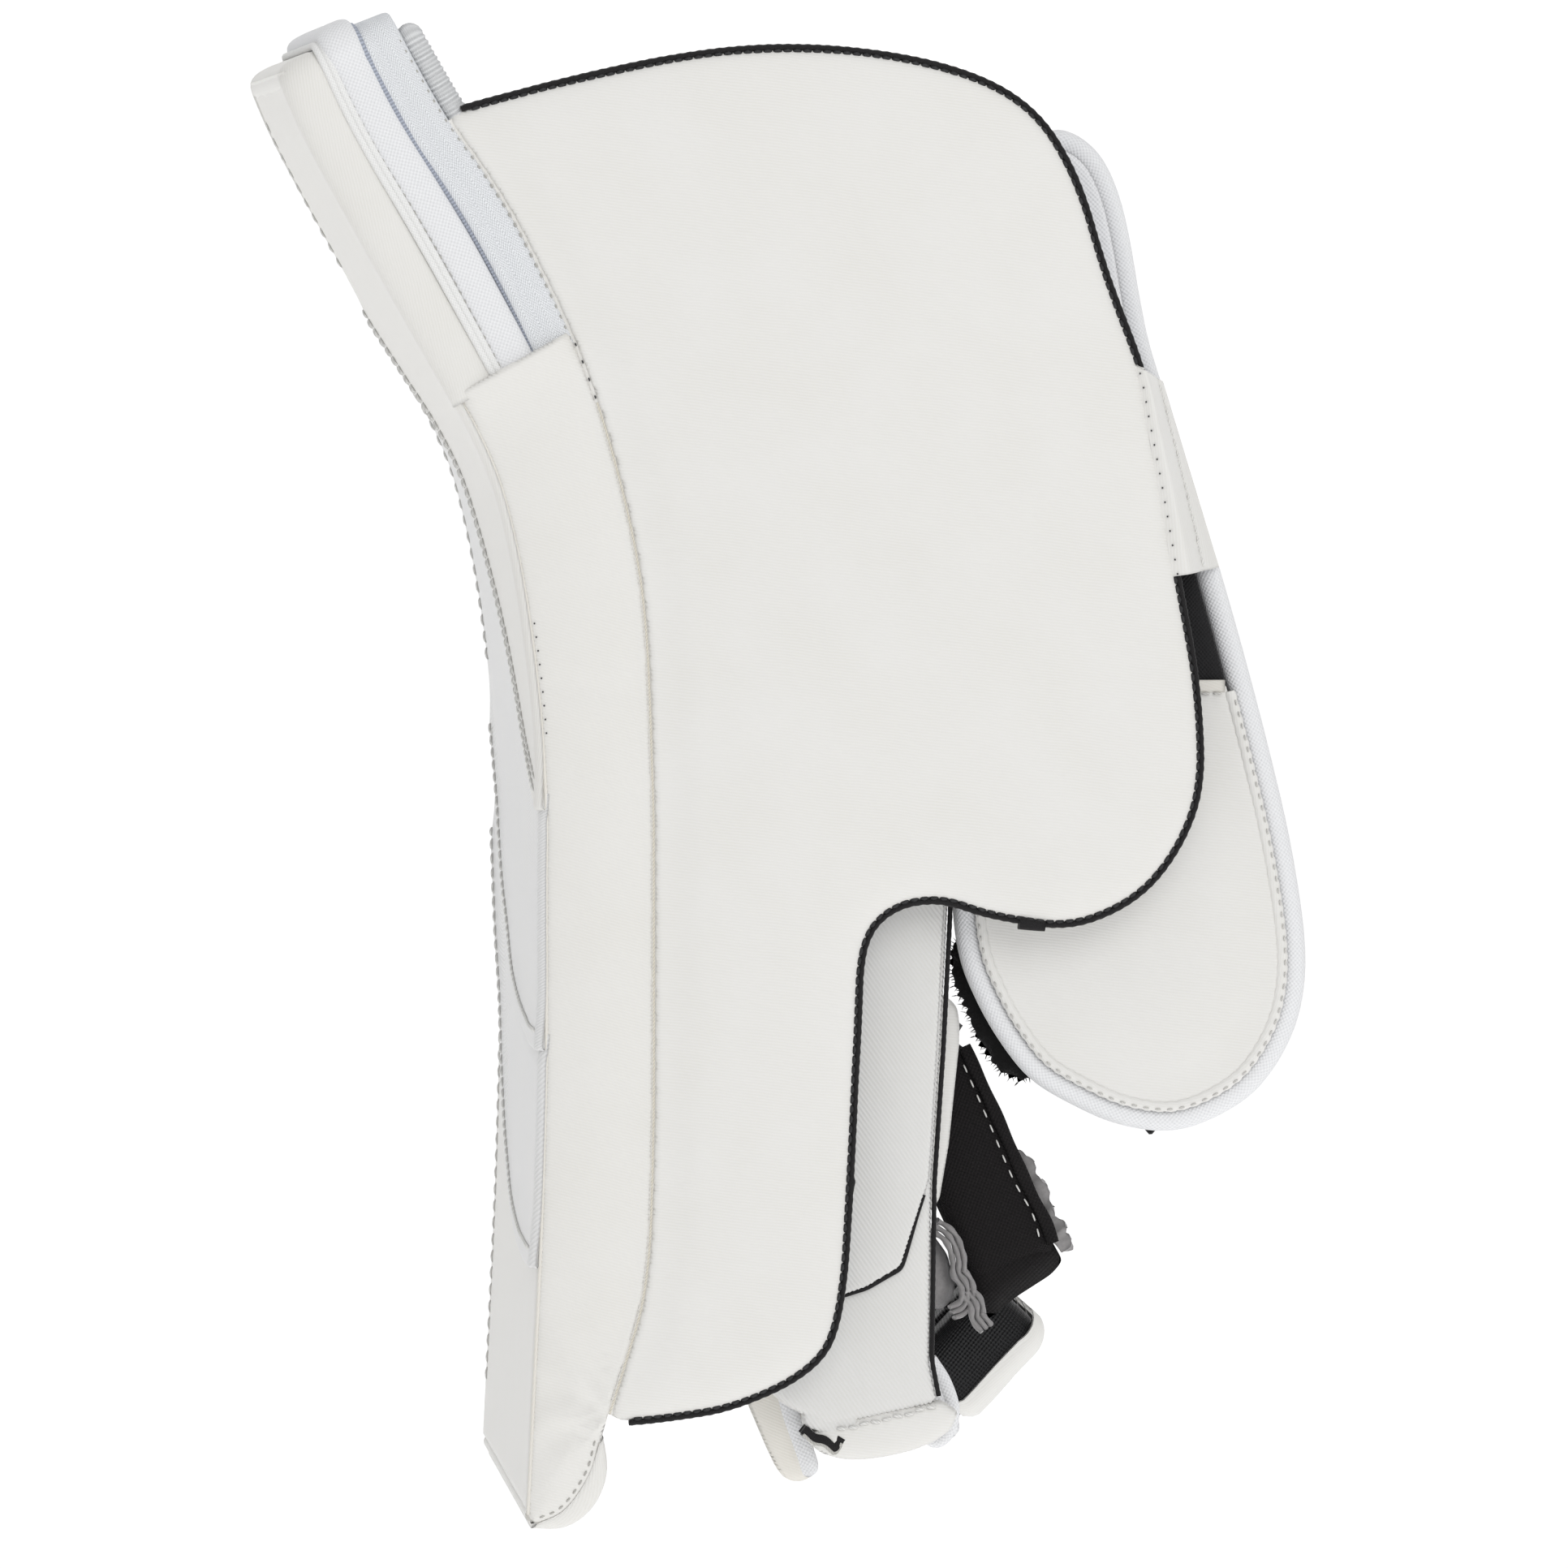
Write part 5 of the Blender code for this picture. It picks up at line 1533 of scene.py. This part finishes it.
def make_glove():
    """The glove's body, sleeve, palm and patches."""
    low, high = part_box("glove_body")
    body = loft("glove_body_cloth", glove_rings(low, high, (-15.4, 17, 2.6), (-15.2, 12, 3),
                                                (-14.6, 6, 3.4), (-12.5, 1.8, 4), (-8, 0.4, 4.5),
                                                (10, 0.1, 4.5), (30, 0.0, 4), (50, 0.6, 3.6),
                                                (64, 1.2, 3.4), (72, 2.2, 3.2), (75.2, 2.6, 3)),
                1.4 * MM, CORDURA, crumple=1.5 * MM, size=26 * MM, seed=41)
    settle(body, "board", "cordura_black", "glove_body", held="gathered", on=["hand_cushion"])
    low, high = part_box("wrist_sleeve")
    sleeve = loft("wrist_sleeve_cloth", glove_rings(
        low, high, (74.6, 6.2, 3), (77, 5.2, 3), (84, 4.0, 3), (96, 2.2, 3.2), (104, 0.8, 3.4),
        (107, 0.5, 3.4), (108, 0.9, 3.4)), 1.8 * MM, CORDURA, crumple=1.2 * MM, size=18 * MM,
        seed=42)
    settle(sleeve, "board", "cordura_black", "wrist_sleeve", held="gathered",
           on=["glove_body_cloth"])
    rim = rounded_ring((low.x + 1.4 * MM, low.y + 1.4 * MM), (high.x - 1.4 * MM, high.y - 1.4 * MM),
                       high.z - 0.9 * MM, 3.4, 90)
    band = sweep("sleeve_binding", rim, (0, 0, 1), oval(1.35 * MM, 0.9 * MM, 12), BLACK,
                 closed=True)
    settle(band, "board", "binding_black")
    for number, z in enumerate((76.0, 79.5)):
        rim = rounded_ring((low.x + 4.6 * MM, low.y + 4.6 * MM),
                           (high.x - 4.6 * MM, high.y - 4.6 * MM), z * MM, 3, 100)
        away = unit(rim - rim.mean(0))
        cuff_band = sweep(f"wrist_elastic_{number + 1}", rim, away,
                          lambda s: oval(1.5 * MM, (1.0 + 0.12 * math.sin(s * TAU / (2.6 * MM)))
                                         * MM, 10), WEBBING, closed=True)
        settle(cuff_band, "board", "webbing_black")

    low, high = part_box("hand_pad")
    cushion = pillow("hand_cushion", low, high, 4 * MM, 0, FOAM)
    settle(cushion, "board", "foam", "hand_pad", fill=0.6)
    low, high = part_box("palm_patch")
    ring = soften(np.array([(low.y, low.z), (high.y, low.z), (high.y, high.z), (low.y, high.z)]),
                  5 * MM)
    patch = pad("palm_leather", ring,
                lambda d, p: high.x - 0.3 * MM
                + 0.3 * MM * ripple(p, 22 * MM, 51) * ease(d / (6 * MM)),
                low.x - 0.5 * MM, PALM, 3 * MM, fringe=mm(0.6, 1.6))
    swap_axes(patch)
    settle(patch, "board", "suede_grey", "palm_patch", held="stretched", on=["glove_body_cloth"])
    line = moved(ring, -2.2 * MM)
    path = np.column_stack([np.full(len(line), high.x - 0.1 * MM), line])
    sew("board", "suede_grey", "palm_stitches", path, (1, 0, 0), GREY_THREAD, pitch=3.4 * MM)
    low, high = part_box("wrist_loop_patch")
    ring = soften(np.array([(low.x, low.z), (high.x, low.z), (high.x, high.z), (low.x, high.z)]),
                  3 * MM)
    loop = pad("wrist_loop_pile", ring, low.y - 0.8 * MM,
               lambda d, p: high.y - dome(d, 1 * MM, 0.2 * MM) - 0.2 * MM, HOOK, 2.5 * MM, low.y)
    settle(loop, "board", "hook_black", "wrist_loop_patch", held="stretched",
           on=["glove_body_cloth"])


def swap_axes(obj):
    """Turn a panel built flat in x-z, with depth in y, to lie flat in y-z with depth in x."""
    mesh = obj.data
    co = vertices(mesh)
    mesh.vertices.foreach_set("co", co[:, [1, 0, 2]].ravel())
    mesh.flip_normals()


# ---------------------------------------------------------------- the fingers

TIP_HINGE = next(j for j in frame["joints"] if j["name"] == "fingertip_curl")["pos_m"]
TIP_ANGLE = 137             # degrees that the tips are curled from straight down
TIP_TURN = Matrix.Rotation(math.radians(-TIP_ANGLE), 3, "Y")
THUMB_HINGE = next(j for j in frame["joints"] if j["name"] == "thumb_flex")["pos_m"]
THUMB_ANGLE = 24.5
THUMB_TURN = Matrix.Rotation(math.radians(-THUMB_ANGLE), 3, "Y")
FINGER_NAMES = ("index", "middle", "ring", "little")


def turned(matrix, hinge):
    """Moves points from a part's own straight frame to where the hinge holds it."""
    rotation, base = np.array(matrix), np.array([hinge[0], 0.0, hinge[2]])
    return lambda points: np.asarray(points) @ rotation.T + base


def own_box(node, matrix, hinge):
    """A CAD piece's corners in its own straight frame."""
    co = vertices(NODES[node].data) - np.array([hinge[0], 0, hinge[2]])
    own = co @ np.array(matrix)
    return own.min(0), own.max(0)


def make_fingers():
    """Four finger stalls, their bent knuckles and their tips."""
    place = turned(TIP_TURN, TIP_HINGE)
    hinge = np.array([TIP_HINGE[0], 0, TIP_HINGE[2]])
    for number, name in enumerate(FINGER_NAMES):
        low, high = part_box(f"{name}_stall")
        middle = (low.y + high.y) / 2
        rings = glove_rings(low, high, (-6, 3.2, 3), (-13, 1.2, 3.4), (-16, 0.25, 3.4),
                            (-24, 0.05, 3.4), (-40, 0.5, 3.2), (-48, 0.9, 3.2), (-56, 0.3, 3.2),
                            (-72, 0.2, 3.2), (-79, 0.4, 3.2), (-82.5, 1.0, 3.2))
        stall = loft(f"{name}_finger_cloth", rings, 1.2 * MM, CORDURA, crumple=0.9 * MM,
                     size=14 * MM, seed=60 + number)
        settle(stall, ("board", "fingers", (14 * MM, middle, -10 * MM),
                       (14 * MM, middle, -24 * MM)), "cordura_black", f"{name}_stall",
               held="stretched", on=["glove_body_cloth", f"{name}_knuckle_cloth"])

        y_low, y_high = low.y + 0.3 * MM, high.y - 0.3 * MM
        rings = []
        for angle in np.linspace(-12, 142, 24):
            turn = math.radians(angle)
            squeeze = math.sin(math.radians(min(max(angle, 0), TIP_ANGLE) * 180 / TIP_ANGLE))
            outer = 23.4 - 3.6 * max(angle, 0) / TIP_ANGLE - 10.5 * squeeze
            inner = 2.6 - 1.4 * squeeze
            flat = oval((outer - inner) / 2 * MM, (y_high - y_low) / 2, 44, 3.2)
            reach = (outer + inner) / 2 * MM - flat[:, 0]
            rings.append(np.column_stack([hinge[0] - reach * math.cos(turn),
                                          flat[:, 1] + (y_low + y_high) / 2,
                                          hinge[2] - reach * math.sin(turn)]))
        grid = np.array(rings)
        fold = 0.5 * MM * np.sin(np.linspace(0, 30, len(grid)))[:, None, None]
        grid = grid + unit(grid - grid.mean(1, keepdims=True)) * fold
        knuckle = shell(f"{name}_knuckle_cloth", grid, 1.0 * MM, CORDURA, wrap_columns=True)
        middle_y = (y_low + y_high) / 2
        settle(knuckle, ("fingers", "fingertips", (22 * MM, middle_y, -80.5 * MM),
                         (35 * MM, middle_y, -89.5 * MM)), "cordura_black", held="folded",
               on=[f"{name}_finger_cloth", f"{name}_tip_mesh"])

        tip_low, tip_high = own_box(f"{name}_tip", TIP_TURN, TIP_HINGE)
        tip = pillow(f"{name}_tip_mesh", tip_low + mm(0.2, 0.3, 0.6), tip_high - mm(0.2, 0.3, 0),
                     5.5 * MM, 0.0, MESH_CLOTH, turn=place, steps=16)
        settle(tip, "fingertips", "mesh_black", f"{name}_tip", fill=0.4)
        make_tip_guard(name, place)


def make_tip_guard(name, place):
    """The puffed white leather over a fingertip's back, rolled round its sides and its end."""
    low, high = own_box(f"{name}_tip_guard", TIP_TURN, TIP_HINGE)
    y, drop = rolled(low[1] - 1.3 * MM, high[1] + 1.3 * MM, 6.0 * MM, step=2 * MM, steps=8)
    z = np.concatenate([np.linspace(high[2] + 1.5 * MM, low[2] + 7 * MM, 16),
                        low[2] + 7 * MM - 8.2 * MM * np.sin(np.linspace(0.12, 1.5, 12))])
    into = np.clip((low[2] + 7 * MM - z) / (8.4 * MM), 0, 0.995)
    start = np.clip(1 - (high[2] + 1.5 * MM - z) / (3.5 * MM), 0, 1)
    bend = 7.0 * MM * (1 - np.sqrt(1 - into ** 2)) + 2.6 * MM * start ** 2
    x = low[0] - 0.3 * MM + np.maximum(drop[None], 0) * (1 - 0.35 * into[:, None]) + bend[:, None]
    x = x + 0.25 * MM * ripple(np.stack([z[:, None] + 0 * y[None], y[None] + 0 * z[:, None]], -1),
                               13 * MM, 71)
    spots = np.stack([x, np.broadcast_to(y, x.shape), np.broadcast_to(z[:, None], x.shape)], -1)
    grid = place(spots.reshape(-1, 3)).reshape(spots.shape)
    outward = place([[-1, 0, 0]])[0] - place([[0, 0, 0]])[0]
    middle = len(y) // 2
    normal = np.cross(grid[6, middle] - grid[5, middle], grid[5, middle + 1] - grid[5, middle])
    guard = shell(f"{name}_tip_leather", grid if normal @ outward > 0 else grid[::-1], 1.1 * MM,
                  LEATHER_FLAT)
    settle(guard, "fingertips", "leather_white", f"{name}_tip_guard", held="stretched",
           on=[f"{name}_tip_mesh"])


def make_finger_cushion():
    """The foam between the fingers' backs and the board."""
    low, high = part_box("finger_back_pad")
    cushion = pillow("finger_cushion", low, high, 4 * MM, 0, FOAM)
    settle(cushion, "fingers", "foam", "finger_back_pad", fill=0.6)


def make_thumb():
    """Thumb stall: a canvas tube with a folded edge, a second fold under it and suede frills."""
    place = turned(THUMB_TURN, THUMB_HINGE)
    low, high = own_box("thumb_stall", THUMB_TURN, THUMB_HINGE)
    stall = pillow("thumb_canvas", low + [0.6 * MM, 0.9 * MM, 0.5 * MM],
                   high - [0.6 * MM, 0.5 * MM, 0], 4.0 * MM, 0.3 * MM, CANVAS, turn=place, steps=18)
    settle(stall, "thumb", "cordura_black", "thumb_stall", fill=0.4)
    front = low[1]
    right, bottom = high[0], low[2]

    def line(*points):
        """A line on the thumb's near face, from own (x, z) points in millimetres."""
        flat = spline(mm(*points), 0.6 * MM)
        return place(np.column_stack([flat[:, 0], np.full(len(flat), front + 0.8 * MM),
                                      flat[:, 1]]))

    r, b = right / MM, bottom / MM
    edge = line((r - 1.4, -1), (r - 1.3, -20), (r - 1.5, -40), (r - 1.1, b + 9), (r - 1.6, b + 3))
    s = arc(edge)
    strip = sweep("thumb_edge_fold", edge, THUMBWARD,
                  lambda d: strap_profile((1.5 + 0.12 * math.sin(d * 410)) * MM,
                                          (1.25 + 0.15 * math.sin(d * 620)) * MM, 0.8 * MM), CANVAS)
    settle(strip, "thumb", "cordura_black")
    seam = line((r - 3.6, -4), (r - 3.8, -20), (r - 4.2, -36), (r - 3.4, b + 12), (r - 4.4, b + 5))
    sew("thumb", "cordura_black", "thumb_stitches", seam + np.array([0, -0.75 * MM, 0]), THUMBWARD,
        WHITE_THREAD, pitch=4.1 * MM, length=2.1 * MM, radius=0.2 * MM)
    ring = soften(even(mm((65.7, -54.1), (62.9, -57.5), (53.6, -63.4), (46.5, -69.2), (41.4, -63.2),
                          (40.4, -52), (61.7, -47)), 1 * MM, True), 1.0 * MM)
    under = pad("thumb_second_layer", ring, domed(front + 2.2 * MM, 2 * MM, -0.8 * MM),
                front + 6.5 * MM, CANVAS, 2 * MM, front + 4 * MM)
    settle(under, "thumb", "cordura_black", fill=0.3)
    rightward = place([[1, 0, 0]])[0] - place([[0, 0, 0]])[0]
    toward_right = 1 if np.cross(edge[-1] - edge[0], THUMBWARD) @ rightward > 0 else -1

    def suede(name, points, depth, width, wave, pitch, seed):
        """Two waved layers of suede standing out beside each other."""
        for layer in (0, 1):
            path = line(*points) + np.array([0, (depth + 1.9 * layer) * MM, 0])
            piece = make_ruffle(f"{name}_{layer + 1}", path, (width - 0.3 * layer) * MM,
                                wave * MM, pitch * MM, seed + layer, toward_right)
        return piece

    piece = suede("thumb_suede_upper", ((r - 2.0, -31), (r - 1.6, -40), (r - 0.6, -50)), 2.0, 4.2,
                  1.3, 6.5, 5)
    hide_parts("thumb_suede")
    suede("thumb_suede_lower", ((r - 2.0, -50), (r - 1.2, -55), (r - 0.6, b - 0.5)), 2.4, 4.6, 1.2,
          5, 6)
    ring = soften(even(mm((25, -45), (32, -46), (36.4, -52), (38.4, -60), (37, -65.5), (29, -66),
                          (24, -62)), 1 * MM, True), 0.8 * MM)
    inner = pad("thumb_suede_inner", ring,
                lambda d, p: front - 0.9 * MM + 0.3 * MM * ripple(p, 6 * MM, 3),
                front + 1.4 * MM, SUEDE, 1.5 * MM, front + 0.5 * MM)
    settle(inner, "thumb", "suede_grey", fill=0.5)

    for name, points in (
            ("thumb_suede_curl", ((32.0, -46), (35.6, -48.5), (37.4, -53), (37.6, -57), (39.6, -60),
                                  (39.4, -63.6), (36.6, -65.2))),
            ("thumb_suede_tail", ((39.6, -62.0), (42.0, -64.8), (42.4, -68.2), (44.8, -71.4)))):
        rim = spline(mm(*points), 0.5 * MM)
        for layer in range(3):
            path = lift(rim + left(rim) * 1.5 * MM * layer, front - (1.2 + 0.5 * (2 - layer)) * MM)
            path[:, 1] += 0.3 * MM * np.sin(arc(path) * (900 + 130 * layer))
            piece = sweep(f"{name}_{layer + 1}", path, THUMBWARD, lambda d, layer=layer: oval(
                (0.72 + 0.12 * math.sin(d * 1500 + layer)) * MM, 1.4 * MM, 10), SUEDE)
            settle(piece, "thumb", "suede_grey")

    root = np.array([THUMB_HINGE[0], (low[1] + high[1]) / 2, THUMB_HINGE[2]])
    rings = []
    for t in np.linspace(0, 1, 14):
        width = (10.6 - 1.0 * math.sin(t * math.pi) ** 2) * MM
        flat = oval(width, (high[1] - low[1]) / 2 - 0.7 * MM, 40, 3.2)
        own = np.column_stack([flat[:, 0], flat[:, 1] + root[1],
                               np.full(len(flat), (-8 + 16 * t) * MM)])
        bent = place(own) if t < 0.45 else own @ np.array(Matrix.Rotation(
            math.radians(-THUMB_ANGLE * (1 - t) / 0.55), 3, "Y")).T + [root[0], 0, root[2]]
        rings.append(bent)
    grid = np.array(rings)
    grid[..., 1] += 3.5 * MM * np.linspace(0, 1, len(grid))[:, None] ** 2
    mouth = shell("thumb_root_cloth", grid[::-1], 1.2 * MM, CORDURA, wrap_columns=True)
    settle(mouth, ("board", "thumb", (30 * MM, root[1], 5 * MM), (31 * MM, root[1], -7 * MM)),
           "cordura_black", held="gathered", on=["thumb_canvas", "glove_body_cloth"])


# ---------------------------------------------------------------- putting it together

FLOOR_DROP = 0.35           # the floor is this far down, so that its shadow stays out of view
WALL, WALL_TOP = 5.0, 6.0   # where the floor curves up, and how high it goes
LIGHTS = (("key", (0.5, -2.4, 1.5), 1.6, 17), ("fill", (1.6, -1.6, 0.5), 1.8, 3),
          ("top", (0.0, -0.3, 2.0), 1.6, 6))     # name, place, size, power
LIT_SPOT = Vector((0, 0, 0.06))
CAMERA_TARGET = Vector((-0.0068, -0.088, 0.0668))
CAMERA_DISTANCE = 3.2
AZIMUTH, ELEVATION = math.radians(-4.3), math.radians(2.4)
LENS, SENSOR = 298, 36


def make_stage():
    """A white studio sweep: the floor well below the blocker, curving up behind it."""
    floor = bpy.data.materials.new("studio_white")
    floor.use_nodes = True
    shader = floor.node_tree.nodes["Principled BSDF"]
    shader.inputs["Base Color"].default_value = (0.92, 0.92, 0.92, 1)
    shader.inputs["Roughness"].default_value = 0.9
    shader.inputs["Specular IOR Level"].default_value = 0.1
    shader.inputs["Emission Color"].default_value = (1, 1, 1, 1)
    shader.inputs["Emission Strength"].default_value = 0.42
    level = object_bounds()[0].z - FLOOR_DROP
    profile = [(-7.0, level), (WALL, level)]
    profile += [(WALL + math.sin(a), level + 1 - math.cos(a))
                for a in np.linspace(0.1, math.pi / 2, 16)]
    profile += [(WALL + 1, WALL_TOP)]
    points = [(x, y, z) for y, z in profile for x in (-7.0, 7.0)]
    faces = [[2 * k, 2 * k + 1, 2 * k + 3, 2 * k + 2] for k in range(len(profile) - 1)]
    mesh = bpy.data.meshes.new("studio_sweep")
    mesh.from_pydata(points, [], faces)
    mesh.polygons.foreach_set("use_smooth", [True] * len(faces))
    mesh.materials.append(floor)
    sweep_object = bpy.data.objects.new("studio_sweep", mesh)
    bpy.context.scene.collection.objects.link(sweep_object)

    world = bpy.data.worlds.new("studio")
    world.use_nodes = True
    background = world.node_tree.nodes["Background"]
    background.inputs["Color"].default_value = (1, 1, 1, 1)
    background.inputs["Strength"].default_value = 0.50
    bpy.context.scene.world = world
    for name, place, size, power in LIGHTS:
        light = bpy.data.lights.new(name, "AREA")
        light.size, light.energy = size, power
        lamp = bpy.data.objects.new(name, light)
        lamp.location = place
        lamp.rotation_euler = facing_angles(Vector(place), LIT_SPOT)
        bpy.context.scene.collection.objects.link(lamp)


def facing_angles(place, target):
    """How a light or camera is turned to look from one place at another."""
    return (target - place).to_track_quat("-Z", "Y").to_euler()


def make_camera():
    """The photo's own viewpoint."""
    camera = bpy.data.objects.new("camera", bpy.data.cameras.new("camera"))
    camera.data.lens, camera.data.sensor_width = LENS, SENSOR
    camera.location = CAMERA_TARGET + CAMERA_DISTANCE * Vector(
        (math.sin(AZIMUTH) * math.cos(ELEVATION), -math.cos(AZIMUTH) * math.cos(ELEVATION),
         math.sin(ELEVATION)))
    camera.rotation_euler = facing_angles(camera.location, CAMERA_TARGET)
    bpy.context.scene.collection.objects.link(camera)
    bpy.context.scene.camera = camera
    bpy.context.scene.view_settings.view_transform = "Standard"


for make in (make_board_face, make_overlays, make_gussets, make_bands, make_board_back, make_wing,
             make_cuff_tab, make_cuff, make_shield, make_glove, make_fingers, make_finger_cushion,
             make_thumb):
    make()
for node in NODES.values():
    for slot in node.material_slots:
        if slot.material and slot.material.name in FINISHES:
            slot.material = FINISHES[slot.material.name]
make_stage()
make_camera()
